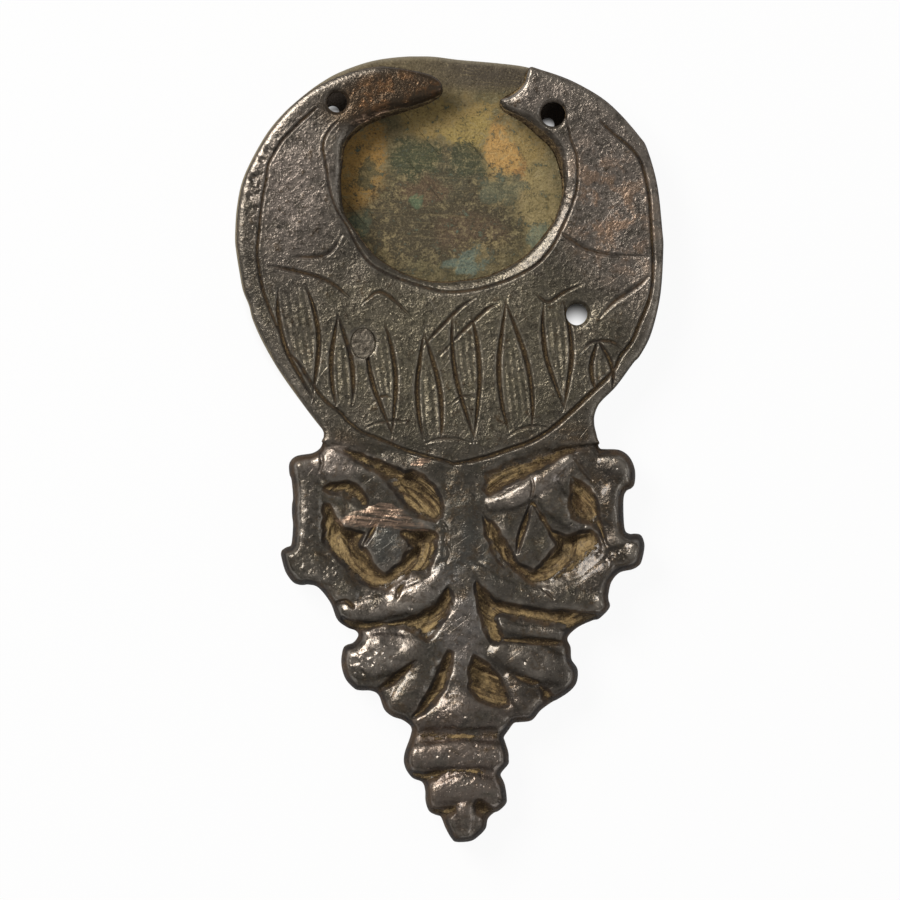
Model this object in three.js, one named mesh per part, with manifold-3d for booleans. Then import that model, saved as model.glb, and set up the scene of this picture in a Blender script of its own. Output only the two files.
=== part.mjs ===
// A medieval strap end of cast copper alloy: a round head that grips the strap between two plates,
// and a carved leaf terminal that hangs below it. It lies on its back, front face up, mouth towards +Y.
import * as THREE from "three";
import { mergeVertices } from "three/addons/utils/BufferGeometryUtils.js";
import Module from "manifold-3d";

const wasm = await Module();
wasm.setup();

// Driving sizes, in millimetres
const headWidth = 34.4;
const headLength = 31.1;
const leafWidth = 29.1;
const leafLength = 32;
const leafShift = 1.1; // the leaf hangs this far right of the head's middle
const backThickness = 0.9;
const spacerThickness = 1.8; // the strap is this thick between the plates
const frontThickness = 1.3;
const crestRise = 0.5; // the leaf's ridges stand this far above the front plate
const windowRadius = 9;
const windowDepth = 9.9; // from the mouth down to the window's centre
const windowShift = 0.3; // the window lies this far right of the head's middle
const pocketRadius = 11; // the spacer's fork is cut this wide for the strap
const pocketDepth = 10.6; // from the mouth down to the centre of the pocket's round end
const prongSetback = 4; // the spacer's prongs end this far below the mouth
const rivetShank = 1.7;
const rivetHead = 2.2;
const rivetHeadDepth = 0.5;
const rivetClearance = 0.1;
const strapHole = 1.8;
const plateStep = 0.2; // the front plate is filed this far inside the back plate on the left
const plateChamfer = 0.35;
const backChamfer = 0.15;
const spacerInset = 0.2;
const shoulderClearance = 0.3; // between the leaf's shoulder and the plates that butt against it
const footOverlap = 1.5; // the head's front runs this far down over the leaf's shoulder
const edgeRounding = 0.5;
const gougeHalf = 1; // half the width of the gouge that cut the leaf's hollows
const crestHalf = 1; // half the width of a plain ridge
const lozengeWidth = 3.1;
const lozengeLength = 4.6;
const lozengeDepth = 1.6; // from a lozenge's peak down into the hollow round it
const knobRadius = 1;
const overrun = 1; // cutting shapes pass this far beyond the face that they cut

// Counts that set how fine the curves are
const outlineSteps = 2;
const stripSteps = 3;
const archSteps = 6;
const circleSteps = 32;
const roundingSteps = 3;
const knobSteps = 12;

// Heights, worked out from the back
const spacerBottom = backThickness;
const frontBottom = spacerBottom + spacerThickness;
const frontTop = frontBottom + frontThickness;
const mouthY = (headLength + leafLength) / 2;
const neckY = mouthY - headLength;

// Shares turn into places: across in half widths, along in lengths from the mouth or from the neck,
// round the window in its radius, and on the horns above it in its depth below the mouth
const onHead = ([across, along]) =>
  new THREE.Vector2((across * headWidth) / 2, mouthY - along * headLength);
const onLeaf = ([across, along]) =>
  new THREE.Vector2(leafShift + (across * leafWidth) / 2, neckY - along * leafLength);
const windowCentre = new THREE.Vector2(windowShift, mouthY - windowDepth);
const onWindow = ([across, up]) =>
  new THREE.Vector2(windowCentre.x + across * windowRadius, windowCentre.y + up * windowRadius);
const onHorns = ([across, down]) =>
  new THREE.Vector2((across * headWidth) / 2, mouthY - down * windowDepth);
const pocketCentre = new THREE.Vector2(windowShift, mouthY - pocketDepth);

const leftSideShares = [
  [-0.205, 0], [-0.367, 0.013], [-0.553, 0.053], [-0.74, 0.13], [-0.87, 0.215],
  [-0.958, 0.31], [-0.995, 0.405], [-1, 0.477], [-0.977, 0.568], [-0.935, 0.645],
  [-0.865, 0.745], [-0.763, 0.838], [-0.67, 0.91], [-0.605, 0.956], [-0.586, 0.985],
];
const rightSideShares = [
  [0.693, 0.987], [0.679, 0.941], [0.716, 0.889], [0.814, 0.83], [0.921, 0.748],
  [0.977, 0.653], [1, 0.503], [0.981, 0.375], [0.926, 0.243], [0.795, 0.151],
  [0.656, 0.089], [0.516, 0.053], [0.377, 0.03], [0.144, 0.013], [-0.042, 0.003],
];
const hornTopShares = [
  [-0.042, 0.214], [-0.112, 0.151], [-0.228, 0.11], [-0.33, 0.094], [-0.437, 0.132], [-0.553, 0.207],
];
const hornBreakShares = [[0.349, 0.207], [0.298, 0.295]];
const windowShares = [
  [0.473, 0.679], [0.616, 0.625], [0.75, 0.571], [0.857, 0.438], [0.964, 0.312],
  [1.009, 0.116], [0.982, -0.107], [0.866, -0.429], [0.598, -0.714], [0.286, -0.875],
  [-0.027, -0.92], [-0.339, -0.884], [-0.652, -0.723], [-0.92, -0.393], [-1, -0.107],
  [-0.982, 0.179], [-0.902, 0.357], [-0.696, 0.5], [-0.473, 0.58], [-0.25, 0.661], [-0.116, 0.732],
];
const shoulderShares = [[-0.775, 0], [-0.46, 0.012], [-0.04, 0.024], [0.42, 0.012], [0.747, 0.008]];

// The leaf's outline runs down its left side, round the tip and up its right side, lobe by lobe
const leafOutlineShares = [
  [
    [-0.775, 0], [-0.824, 0.022], [-0.896, 0.03], [-0.951, 0.045], [-0.962, 0.065],
    [-0.94, 0.105], [-0.94, 0.217], [-0.951, 0.255], [-1, 0.275], [-0.978, 0.325],
    [-0.918, 0.352], [-0.813, 0.357], [-0.742, 0.393], [-0.676, 0.45], [-0.588, 0.472],
  ],
  [
    [-0.588, 0.485], [-0.659, 0.517], [-0.67, 0.555], [-0.626, 0.605], [-0.566, 0.62],
    [-0.489, 0.623], [-0.451, 0.647], [-0.412, 0.68], [-0.33, 0.695], [-0.286, 0.715],
  ],
  [
    [-0.291, 0.738], [-0.324, 0.787], [-0.297, 0.83], [-0.22, 0.855], [-0.209, 0.897],
    [-0.17, 0.927], [-0.121, 0.938], [-0.077, 0.983], [-0.033, 1],
  ],
  [
    [0.016, 1], [0.104, 0.978], [0.137, 0.94], [0.214, 0.915], [0.242, 0.885],
    [0.209, 0.835], [0.247, 0.802], [0.225, 0.74],
  ],
  [
    [0.269, 0.708], [0.324, 0.698], [0.39, 0.69], [0.473, 0.655], [0.577, 0.627],
    [0.632, 0.593], [0.61, 0.552], [0.593, 0.505], [0.582, 0.487],
  ],
  [
    [0.632, 0.463], [0.736, 0.443], [0.808, 0.41], [0.802, 0.372], [0.852, 0.33],
    [0.962, 0.31], [1, 0.263], [0.973, 0.23], [0.901, 0.223], [0.885, 0.172],
    [0.896, 0.122], [0.945, 0.102], [0.94, 0.06], [0.874, 0.02], [0.747, 0.008],
  ],
];

// Hollows: each point has its place on the leaf and its half width as a share of the gouge's
const cutSlopeShare = 1.1; // depth of a cut as a share of its half width
const cutShares = [
  // between the head and the leaves
  [[-0.77, 0.005, 0.32], [-0.61, 0.022, 0.64], [-0.43, 0.062, 0.88], [-0.32, 0.098, 1.2]],
  [[-0.36, 0.08, 0.48], [-0.28, 0.113, 1.2], [-0.19, 0.15, 1.12], [-0.12, 0.2, 0.32]],
  [[0.74, 0.013, 0.32], [0.53, 0.022, 0.56], [0.34, 0.062, 0.72], [0.12, 0.107, 0.48]],
  // inside the left leaf
  [[-0.77, 0.113, 0.16], [-0.68, 0.117, 0.72], [-0.58, 0.13, 0.72], [-0.51, 0.163, 0.16]],
  [[-0.73, 0.15, 0.32], [-0.71, 0.212, 0.88], [-0.61, 0.282, 1.28], [-0.43, 0.37, 0.32]],
  [[-0.44, 0.367, 0.24], [-0.3, 0.318, 1.04], [-0.14, 0.282, 0.56]],
  [[-0.34, 0.21, 0.24], [-0.26, 0.237, 0.64], [-0.15, 0.258, 0.32]],
  [[-0.62, 0.203, 0.16], [-0.55, 0.237, 0.48], [-0.46, 0.255, 0.32]],
  // inside the right leaf
  [[0.59, 0.077, 0.16], [0.69, 0.13, 0.72], [0.75, 0.193, 0.64], [0.79, 0.26, 0.16]],
  [[0.12, 0.175, 0.32], [0.16, 0.242, 0.88], [0.26, 0.31, 0.96], [0.41, 0.37, 0.24]],
  [[0.41, 0.362, 0.24], [0.58, 0.307, 1.04], [0.77, 0.25, 0.4]],
  [[0.38, 0.15, 0.16], [0.36, 0.203, 0.4], [0.33, 0.268, 0.24]],
  [[0.38, 0.15, 0.16], [0.46, 0.205, 0.4], [0.55, 0.273, 0.24]],
  // between the leaves and the lobes below them
  [[0.08, 0.355, 0.24], [0.22, 0.417, 0.72], [0.45, 0.435, 0.72], [0.75, 0.435, 0.32]],
  [[-0.58, 0.463, 0.32], [-0.37, 0.453, 0.48], [-0.21, 0.42, 0.88], [-0.07, 0.355, 0.32]],
  [[-0.2, 0.422, 0.48], [-0.17, 0.463, 0.72], [-0.21, 0.507, 0.24]],
  [[0.11, 0.372, 0.32], [0.14, 0.438, 0.8], [0.17, 0.505, 0.24]],
  [[0.23, 0.492, 0.16], [0.37, 0.495, 0.24], [0.52, 0.492, 0.24]],
  // between the lobes, and beside the stem
  [[-0.49, 0.623, 0.32], [-0.39, 0.595, 0.4], [-0.25, 0.573, 0.16]],
  [[-0.06, 0.512, 0.16], [-0.14, 0.58, 0.56], [-0.21, 0.627, 0.64], [-0.29, 0.677, 0.4]],
  [[0.04, 0.522, 0.16], [0.1, 0.58, 0.96], [0.16, 0.635, 1.2], [0.19, 0.667, 0.4]],
  [[0.4, 0.595, 0.16], [0.45, 0.62, 0.4], [0.51, 0.645, 0.32]],
  // between the three tiers and the tip
  [[-0.31, 0.73, 0.48], [-0.18, 0.733, 0.32], [0.04, 0.735, 0.32], [0.25, 0.73, 0.48]],
  [[-0.32, 0.84, 0.48], [-0.18, 0.833, 0.4], [-0.04, 0.815, 0.08]],
  [[-0.19, 0.932, 0.48], [-0.13, 0.912, 0.4], [-0.05, 0.907, 0.08]],
  [[0.22, 0.932, 0.48], [0.14, 0.907, 0.56], [0.07, 0.885, 0.16]],
];

// Ridges: each point has its place on the leaf and its half width as a share of a plain ridge's
const ridgeShares = [
  // the left leaf: its upper band, side, lower side and lower rim, and the tendril across it
  [[-0.77, 0.043, 0.64], [-0.62, 0.06, 1.04], [-0.46, 0.107, 0.96], [-0.32, 0.175, 0.8], [-0.18, 0.217, 0.48]],
  [[-0.85, 0.068, 0.8], [-0.84, 0.155, 0.88], [-0.85, 0.255, 0.96]],
  [[-0.9, 0.282, 1.12], [-0.79, 0.323, 1.12], [-0.61, 0.398, 0.72]],
  [[-0.65, 0.422, 0.48], [-0.44, 0.415, 0.88], [-0.24, 0.383, 1.04], [-0.08, 0.318, 0.56]],
  [[-0.5, 0.188, 0.4], [-0.37, 0.177, 0.48], [-0.21, 0.203, 0.4]],
  // the right leaf: its upper rim, curl, side, lower side and lower rim
  [[0.11, 0.155, 0.4], [0.32, 0.117, 0.8], [0.59, 0.045, 0.56]],
  [[0.48, 0.087, 0.56], [0.51, 0.142, 1.12], [0.65, 0.188, 0.56]],
  [[0.82, 0.048, 0.88], [0.83, 0.142, 0.72], [0.84, 0.23, 0.88]],
  [[0.91, 0.273, 1.04], [0.82, 0.297, 1.12], [0.67, 0.357, 0.96]],
  [[0.08, 0.312, 0.64], [0.22, 0.367, 0.96], [0.48, 0.393, 0.88], [0.75, 0.393, 0.72]],
  // the lobes under the leaves, two on each side, and the small rib above the right one
  [[-0.59, 0.542, 1.04], [-0.43, 0.522, 1.6], [-0.25, 0.53, 0.96]],
  [[-0.36, 0.657, 0.8], [-0.29, 0.618, 1.04], [-0.17, 0.522, 0.72]],
  [[0.54, 0.578, 0.96], [0.37, 0.547, 1.36], [0.18, 0.522, 0.72]],
  [[0.36, 0.662, 0.72], [0.34, 0.623, 0.96], [0.27, 0.573, 0.64]],
  [[0.2, 0.47, 0.32], [0.37, 0.472, 0.48], [0.51, 0.472, 0.32]],
  // the stem, the three tiers below it and the rib of the tip
  [[0, 0.255, 1.04], [-0.01, 0.393, 0.96], [0, 0.517, 0.8], [0, 0.618, 0.56]],
  [[-0.25, 0.703, 0.64], [-0.13, 0.682, 0.96], [0, 0.655, 1.12], [0.14, 0.682, 0.96], [0.24, 0.703, 0.56]],
  [[-0.27, 0.785, 0.96], [-0.03, 0.772, 1.12], [0.2, 0.78, 0.96]],
  [[-0.15, 0.885, 0.8], [0.02, 0.858, 1.04], [0.19, 0.877, 0.96]],
  [[0.01, 0.892, 0.64], [0.01, 0.943, 0.72], [0.01, 0.983, 0.48]],
];
const ridgeEndShare = 0.3; // a ridge dies away to this share of its size at its ends
const lozengeShares = [[-0.41, 0.258], [0.43, 0.265]];
const knobShares = [
  [-0.86, 0.057, 0.95], [-0.88, 0.3, 1.1], [0.84, 0.055, 1.1], [0.92, 0.268, 1], [0.73, 0.4, 0.75],
];

// Places of the holes, each with its diameter as a share of the named one: worn holes differ a little
const strapHoleShares = [[-1.033, 0.679, 0.9], [0.896, 0.571, 1.1]];
const rivetPlace = onHead([-0.4, 0.743]);
const lostRivetPlace = onHead([0.595, 0.668]);

function smooth(places) {
  return new THREE.SplineCurve(places).getPoints(outlineSteps * (places.length - 1));
}

function solidOf(geometry) {
  geometry.deleteAttribute("normal");
  geometry.deleteAttribute("uv");
  const merged = mergeVertices(geometry);
  return new wasm.Manifold(
    new wasm.Mesh({
      numProp: 3,
      vertProperties: merged.attributes.position.array,
      triVerts: new Uint32Array(merged.index.array),
    }),
  );
}

// A plate of an outline between two heights; its edges are rounded off or chamfered on both faces
function plate(outline, bottom, top, edge, edgeSteps) {
  const geometry = new THREE.ExtrudeGeometry(new THREE.Shape(outline), {
    depth: top - bottom - 2 * edge,
    steps: 1,
    bevelEnabled: edge > 0,
    bevelThickness: edge,
    bevelSize: edge,
    bevelOffset: -edge,
    bevelSegments: edgeSteps,
  });
  return solidOf(geometry.translate(0, 0, bottom + edge));
}

function block(low, high) {
  const size = high.clone().sub(low);
  const middle = low.clone().add(high).divideScalar(2);
  return solidOf(new THREE.BoxGeometry(size.x, size.y, size.z).translate(middle.x, middle.y, middle.z));
}

// A layer of the whole part's width and length, with a little to spare, between two heights
function layer(bottom, top) {
  return block(
    new THREE.Vector3(-headWidth, -mouthY - overrun, bottom),
    new THREE.Vector3(headWidth, mouthY + overrun, top),
  );
}

function turned(profile, place) {
  return solidOf(new THREE.LatheGeometry(profile, circleSteps).rotateX(Math.PI / 2).translate(place.x, place.y, 0));
}

function bore(place, radius) {
  const profile = [
    new THREE.Vector2(0, -overrun),
    new THREE.Vector2(radius, -overrun),
    new THREE.Vector2(radius, frontTop + overrun),
    new THREE.Vector2(0, frontTop + overrun),
  ];
  return turned(profile, place);
}

// The rivet's profile, or with a clearance the profile of the hole that it fills
function rivetProfile(clearance, overshoot) {
  const shank = rivetShank / 2 + clearance;
  const head = rivetHead / 2 + clearance;
  return [
    new THREE.Vector2(0, -overshoot),
    new THREE.Vector2(head, -overshoot),
    new THREE.Vector2(head, 0),
    new THREE.Vector2(shank, rivetHeadDepth),
    new THREE.Vector2(shank, frontTop - rivetHeadDepth),
    new THREE.Vector2(head, frontTop),
    new THREE.Vector2(head, frontTop + overshoot),
    new THREE.Vector2(0, frontTop + overshoot),
  ];
}

// A strip follows a curve on the leaf. Its section gives the outline, as aside and up pairs, for a
// half width and for how far along the strip it lies, from 0 to 1.
function strip(shares, unit, section) {
  const path = new THREE.SplineCurve(shares.map(onLeaf));
  const halves = new THREE.SplineCurve(shares.map(([, , half], i) => new THREE.Vector2(i, half * unit)));
  const count = stripSteps * (shares.length - 1);
  const positions = [];
  const index = [];
  let corners = 0;
  for (let i = 0; i <= count; i += 1) {
    const middle = path.getPoint(i / count);
    const ahead = path.getTangent(i / count);
    const ring = section(halves.getPoint(i / count).y, i / count);
    corners = ring.length;
    for (const [aside, up] of ring) {
      positions.push(middle.x - ahead.y * aside, middle.y + ahead.x * aside, up);
    }
  }
  for (let i = 0; i < count; i += 1) {
    for (let k = 0; k < corners; k += 1) {
      const a = i * corners + k;
      const b = i * corners + ((k + 1) % corners);
      index.push(a, b, b + corners, a, b + corners, a + corners);
    }
  }
  const last = count * corners;
  for (let k = 1; k < corners - 1; k += 1) {
    index.push(0, k + 1, k, last, last + k, last + k + 1);
  }
  const geometry = new THREE.BufferGeometry();
  geometry.setAttribute("position", new THREE.Float32BufferAttribute(positions, 3));
  geometry.setIndex(index);
  return solidOf(geometry);
}

function cut(shares) {
  return strip(shares, gougeHalf, (half) => {
    const wide = half + (overrun + crestRise) / cutSlopeShare;
    return [
      [-wide, frontTop + overrun + crestRise],
      [0, frontTop - half * cutSlopeShare],
      [wide, frontTop + overrun + crestRise],
    ];
  });
}

function ridge(shares) {
  return strip(shares, crestHalf, (fullHalf, along) => {
    const swell = ridgeEndShare + (1 - ridgeEndShare) * Math.sqrt(Math.sin(Math.PI * along));
    const half = fullHalf * swell;
    const rise = crestRise * Math.min(1, fullHalf / crestHalf) * swell;
    const arch = [];
    for (let k = 0; k <= archSteps; k += 1) {
      const angle = (Math.PI * k) / archSteps;
      arch.push([half * Math.cos(angle), frontTop + rise * Math.sin(angle)]);
    }
    return [[half, frontTop - edgeRounding], ...arch, [-half, frontTop - edgeRounding]];
  });
}

function knob([across, along, share]) {
  const place = onLeaf([across, along]);
  const radius = knobRadius * share;
  const geometry = new THREE.SphereGeometry(radius, knobSteps, knobSteps / 2).rotateX(Math.PI / 2);
  geometry.scale(1, 1, (crestRise + edgeRounding) / radius);
  return solidOf(geometry.translate(place.x, place.y, frontTop - edgeRounding));
}

function lozenge(shares) {
  const place = onLeaf(shares);
  const geometry = new THREE.ConeGeometry(1, lozengeDepth, 4).rotateX(Math.PI / 2);
  geometry.scale(lozengeWidth / 2, lozengeLength / 2, 1);
  return solidOf(geometry.translate(place.x, place.y, frontTop - lozengeDepth / 2));
}

// Outlines that the pieces share
const leftSide = smooth(leftSideShares.map(onHead));
const rightSide = smooth(rightSideShares.map(onHead));
const shoulder = smooth(shoulderShares.map((share) => onLeaf(share)));
const hornTop = smooth(hornTopShares.map(onHorns));
const windowEdge = smooth(windowShares.map(onWindow));
const headMiddle = onHead([0, 0.5]);
const towardsMiddle = (distance) => (point) =>
  point.clone().add(headMiddle.clone().sub(point).setLength(distance));
const raised = (distance) => (point) => new THREE.Vector2(point.x, point.y + distance);
const headOutline = [...leftSide, ...shoulder.map(raised(shoulderClearance)).slice(1, -1), ...rightSide];

// The back plate covers the whole head
const strapHoles = strapHoleShares.map((share) => bore(onWindow(share), (strapHole * share[2]) / 2));
const rivetHole = turned(rivetProfile(rivetClearance, overrun), rivetPlace);
const lostRivetHole = bore(lostRivetPlace, rivetShank / 2 + rivetClearance);
let backPlate = plate(headOutline, 0, backThickness + backChamfer, backChamfer, 1);
backPlate = backPlate.intersect(layer(0, backThickness));
for (const hole of [...strapHoles, rivetHole, lostRivetHole]) {
  backPlate = backPlate.subtract(hole);
}

// The forked spacer: the head's outline with the strap's pocket cut out of it, open at the mouth
const spacerOutline = headOutline.map(towardsMiddle(spacerInset));
const pocket = turned(
  [
    new THREE.Vector2(0, 0),
    new THREE.Vector2(pocketRadius, 0),
    new THREE.Vector2(pocketRadius, frontTop),
    new THREE.Vector2(0, frontTop),
  ],
  pocketCentre,
);
const pocketMouth = block(
  new THREE.Vector3(pocketCentre.x - pocketRadius, pocketCentre.y, 0),
  new THREE.Vector3(pocketCentre.x + pocketRadius, mouthY + overrun, frontTop),
);
const aboveProngs = block(
  new THREE.Vector3(-headWidth, mouthY - prongSetback, 0),
  new THREE.Vector3(headWidth, mouthY + overrun, frontTop),
);
let spacer = plate(spacerOutline, spacerBottom, frontBottom, 0, 0);
for (const tool of [pocket, pocketMouth, aboveProngs, rivetHole, lostRivetHole]) {
  spacer = spacer.subtract(tool);
}

// The head's front is a crescent round the window; it runs down over the leaf's shoulder
const hornRoot = hornTop[hornTop.length - 1];
const frontLeft = leftSide.map(towardsMiddle(plateStep)).filter((point) => point.y < hornRoot.y);
const frontRight = rightSide.filter((point) => point.x > onHorns(hornBreakShares[0]).x);
const foot = shoulder.map(raised(-footOverlap)).slice(1, -1);
const crescent = [
  ...hornTop,
  ...frontLeft,
  ...foot,
  ...frontRight,
  ...hornBreakShares.map(onHorns),
  ...windowEdge,
];

// The leaf is as thick as the whole head, flat behind and rounded at the edge
const leafOutline = leafOutlineShares.flatMap((part) => smooth(part.map(onLeaf)));
const leafTop = [...shoulder].reverse().slice(1, -1);
const leafSlab = plate([...leafOutline, ...leafTop], -edgeRounding, frontTop, edgeRounding, roundingSteps);
const headSlab = plate(crescent, frontBottom - plateChamfer, frontTop, plateChamfer, 1);
let front = leafSlab.intersect(layer(0, frontTop + overrun));
front = front.add(headSlab.intersect(layer(frontBottom, frontTop + overrun)));
for (const raisedForm of [...ridgeShares.map(ridge), ...knobShares.map(knob)]) {
  front = front.add(raisedForm);
}
for (const shares of cutShares) {
  front = front.subtract(cut(shares));
}
for (const shares of lozengeShares) {
  front = front.add(lozenge(shares));
}
for (const hole of [...strapHoles, rivetHole, lostRivetHole]) {
  front = front.subtract(hole);
}

const rivet = turned(rivetProfile(0, 0), rivetPlace);

function mesh(name, solid, finish) {
  const { vertProperties, triVerts } = solid.getMesh();
  const geometry = new THREE.BufferGeometry();
  geometry.setAttribute("position", new THREE.BufferAttribute(vertProperties, 3));
  geometry.setIndex(new THREE.BufferAttribute(triVerts, 1));
  geometry.computeVertexNormals();
  const piece = new THREE.Mesh(geometry, new THREE.MeshStandardMaterial(finish));
  piece.name = name;
  return piece;
}

const strapEnd = new THREE.Group();
strapEnd.add(
  mesh("front_plate_with_terminal", front, { color: 0x4a443c, roughness: 0.42, metalness: 0.8 }),
  mesh("forked_spacer", spacer, { color: 0x6b5a3c, roughness: 0.6, metalness: 0.6 }),
  mesh("back_plate", backPlate, { color: 0x7d6f4c, roughness: 0.6, metalness: 0.6 }),
  mesh("assembly_rivet", rivet, { color: 0x575049, roughness: 0.5, metalness: 0.8 }),
);

export default strapEnd;
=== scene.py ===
import bpy
import numpy as np
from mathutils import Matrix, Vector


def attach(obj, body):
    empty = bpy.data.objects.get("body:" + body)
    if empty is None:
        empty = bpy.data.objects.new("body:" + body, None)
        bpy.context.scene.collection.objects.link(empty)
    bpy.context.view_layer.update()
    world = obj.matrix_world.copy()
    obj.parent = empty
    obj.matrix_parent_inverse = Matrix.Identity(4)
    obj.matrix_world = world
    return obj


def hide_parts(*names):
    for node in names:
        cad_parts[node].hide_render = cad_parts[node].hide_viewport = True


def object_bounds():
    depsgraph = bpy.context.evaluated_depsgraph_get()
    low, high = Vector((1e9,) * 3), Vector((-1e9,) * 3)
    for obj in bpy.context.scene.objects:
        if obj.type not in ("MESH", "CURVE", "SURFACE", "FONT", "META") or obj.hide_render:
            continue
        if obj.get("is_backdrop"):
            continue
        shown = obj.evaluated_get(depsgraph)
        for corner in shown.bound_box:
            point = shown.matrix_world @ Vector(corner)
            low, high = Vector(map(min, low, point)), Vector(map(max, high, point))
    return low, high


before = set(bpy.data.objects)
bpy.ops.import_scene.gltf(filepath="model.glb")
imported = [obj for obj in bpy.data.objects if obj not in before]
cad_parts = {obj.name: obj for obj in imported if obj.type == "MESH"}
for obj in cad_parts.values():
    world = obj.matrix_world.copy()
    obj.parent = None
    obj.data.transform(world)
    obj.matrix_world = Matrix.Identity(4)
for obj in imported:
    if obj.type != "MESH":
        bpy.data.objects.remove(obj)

# The strap end lies on its flat back. X runs to the right, Y from the leaf's tip to the strap's mouth and
# Z up to the engraved face. Places and sizes are in millimetres until they become a mesh.
MM = 0.001
cad_low, cad_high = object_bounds()
scene = bpy.context.scene
scene.view_settings.view_transform = "Standard"

# The camera hangs straight above the strap end on a long lens. At the height of the face its view is 72 mm
# wide, and the object stands a little off the middle of it.
VIEW_WIDTH = 72
VIEW_MIDDLE = (0.08, -0.1)
FACE_HEIGHT = 4.0
LENS = 350
SENSOR = 36
NEAREST = 50
FARTHEST = 20000

camera_data = bpy.data.cameras.new("camera")
camera_data.lens = LENS
camera_data.sensor_width = SENSOR
camera_data.clip_start = NEAREST * MM
camera_data.clip_end = FARTHEST * MM
camera = bpy.data.objects.new("camera", camera_data)
camera.location = (VIEW_MIDDLE[0] * MM, VIEW_MIDDLE[1] * MM, (FACE_HEIGHT + VIEW_WIDTH * LENS / SENSOR) * MM)
scene.collection.objects.link(camera)
scene.camera = camera

# The back plate is a sheet of copper alloy 0.9 mm thick, cut to the head's outline and riveted behind the
# spacer. The window shows its olive and ochre corrosion, and its worn top edge shows above the horns.
BACK_THICKNESS = 0.9
BACK_CELL = 0.11
BACK_TRIANGLES = 70000
BACK_PLAN = ((-17.6, -0.4), (17.6, 31.9), 0.06)  # low corner, high corner and cell
BACK_EDGE = 0.5
BACK_EDGE_DROP = 0.3
BACK_UNTOUCHED = 0.3  # below this height nothing is raised or lowered
STRAP_HOLES = [(-8.96, 27.74, 0.81), (8.32, 26.78, 0.99)]  # x, y, radius
RIVET_HOLE = (-6.88, 8.44, 0.9)
LOST_RIVET_HOLE = (10.26, 10.76, 0.88)
# the strap's rivets went in aslant and thinner, so the holes at the back lie a little off those in front
HOLE_SLANT = (-0.4, -0.72)
BACK_HOLE_RADIUS = 0.55
RIVET_FOOT_RADIUS = 1.12
WINDOW_PITS = 120
WINDOW_AREA = ((-8.6, 9.2), (12.5, 31))
BACK_WAVES = [(2.6, 0.05, 1), (0.9, 0.03, 2), (0.3, 0.02, 3)]  # size, depth, seed
BACK_OUTLINE = [
    (-1.52, 31.54), (-3.92, 31.5), (-6.32, 31.14), (-8.72, 30.3), (-10.32, 29.42), (-11.92, 28.22),
    (-13.52, 26.74), (-14.96, 24.86), (-16.48, 21.9), (-17.04, 19.5), (-17.2, 17.1), (-17.12, 15.9),
    (-16.8, 13.9), (-16.56, 12.7), (-16.08, 11.5), (-15.76, 10.3), (-14.88, 8.38), (-13.52, 6.06),
    (-11.52, 3.26), (-10.4, 1.82), (-10.04, 1.46), (-9.6, 1.18), (-8.72, 1.14), (-5.52, 1.38), (0.48, 1.58),
    (6.88, 1.38), (10.48, 1.14), (11.2, 1.18), (11.6, 1.46), (11.68, 1.9), (11.68, 2.62), (11.92, 3.34),
    (12.32, 3.9), (13.44, 5.02), (14.8, 6.86), (15.36, 7.5), (16.24, 9.26), (16.96, 12.3), (17.2, 15.9),
    (17.12, 17.5), (16.72, 21.1), (15.92, 23.98), (15.28, 25.02), (13.68, 26.86), (12.08, 28.22),
    (9.68, 29.58), (6.48, 30.62), (4.08, 30.98), (0.88, 31.26),
]


def curved(places, step=0.12, closed=True):
    """Places on a smooth curve through the given ones; further numbers of a place change smoothly too."""
    places = np.array(places, float)
    count = len(places)
    if closed:
        before, after, last = np.roll(places, 1, 0), np.roll(places, -1, 0), count
        beyond = np.roll(places, -2, 0)
    else:
        padded = np.vstack([2 * places[0] - places[1], places, 2 * places[-1] - places[-2]])
        before, after, beyond, last = padded[:-3], padded[2:-1], padded[3:], count - 1
    result = []
    for p0, p1, p2, p3 in zip(before[:last], places[:last], after[:last], beyond[:last]):
        parts = max(1, int(np.hypot(*(p2 - p1)[:2]) / step))
        bend = 2 * p0 - 5 * p1 + 4 * p2 - p3
        twist = 3 * (p1 - p2) + p3 - p0
        for t in np.arange(parts) / parts:
            result.append(p1 + 0.5 * t * (p2 - p0 + t * (bend + t * twist)))
    if not closed:
        result.append(places[-1])
    return np.array(result)


def ring(hole, steps=48):
    """The outline of a round hole."""
    turn = np.linspace(0, 2 * np.pi, steps, endpoint=False)
    return np.stack([hole[0] + hole[2] * np.cos(turn), hole[1] + hole[2] * np.sin(turn)], 1)


def choose(*pieces):
    """Selects these pieces alone and makes the first one active."""
    bpy.ops.object.select_all(action="DESELECT")
    for piece in pieces:
        piece.select_set(True)
    bpy.context.view_layer.objects.active = pieces[0]


def sheet_metal(name, outline, holes, low, high):
    """A flat blank sawn to an outline, with its holes, between two heights."""
    drawing = bpy.data.curves.new(name, "CURVE")
    drawing.dimensions = "2D"
    drawing.fill_mode = "BOTH"
    drawing.extrude = (high - low) / 2 * MM
    for line in [outline, *map(ring, holes)]:
        spline = drawing.splines.new("POLY")
        spline.points.add(len(line) - 1)
        spline.use_cyclic_u = True
        for point, (x, y) in zip(spline.points, line):
            point.co = (x * MM, y * MM, 0, 1)
    blank = bpy.data.objects.new(name, drawing)
    scene.collection.objects.link(blank)
    blank.location.z = (low + high) / 2 * MM
    choose(blank)
    bpy.ops.object.convert(target="MESH")
    bpy.ops.object.transform_apply(location=True, rotation=True, scale=True)
    bpy.ops.object.mode_set(mode="EDIT")
    bpy.ops.mesh.select_all(action="SELECT")
    bpy.ops.mesh.remove_doubles(threshold=1e-7)
    bpy.ops.mesh.normals_make_consistent(inside=False)
    bpy.ops.object.mode_set(mode="OBJECT")
    return blank


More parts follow.
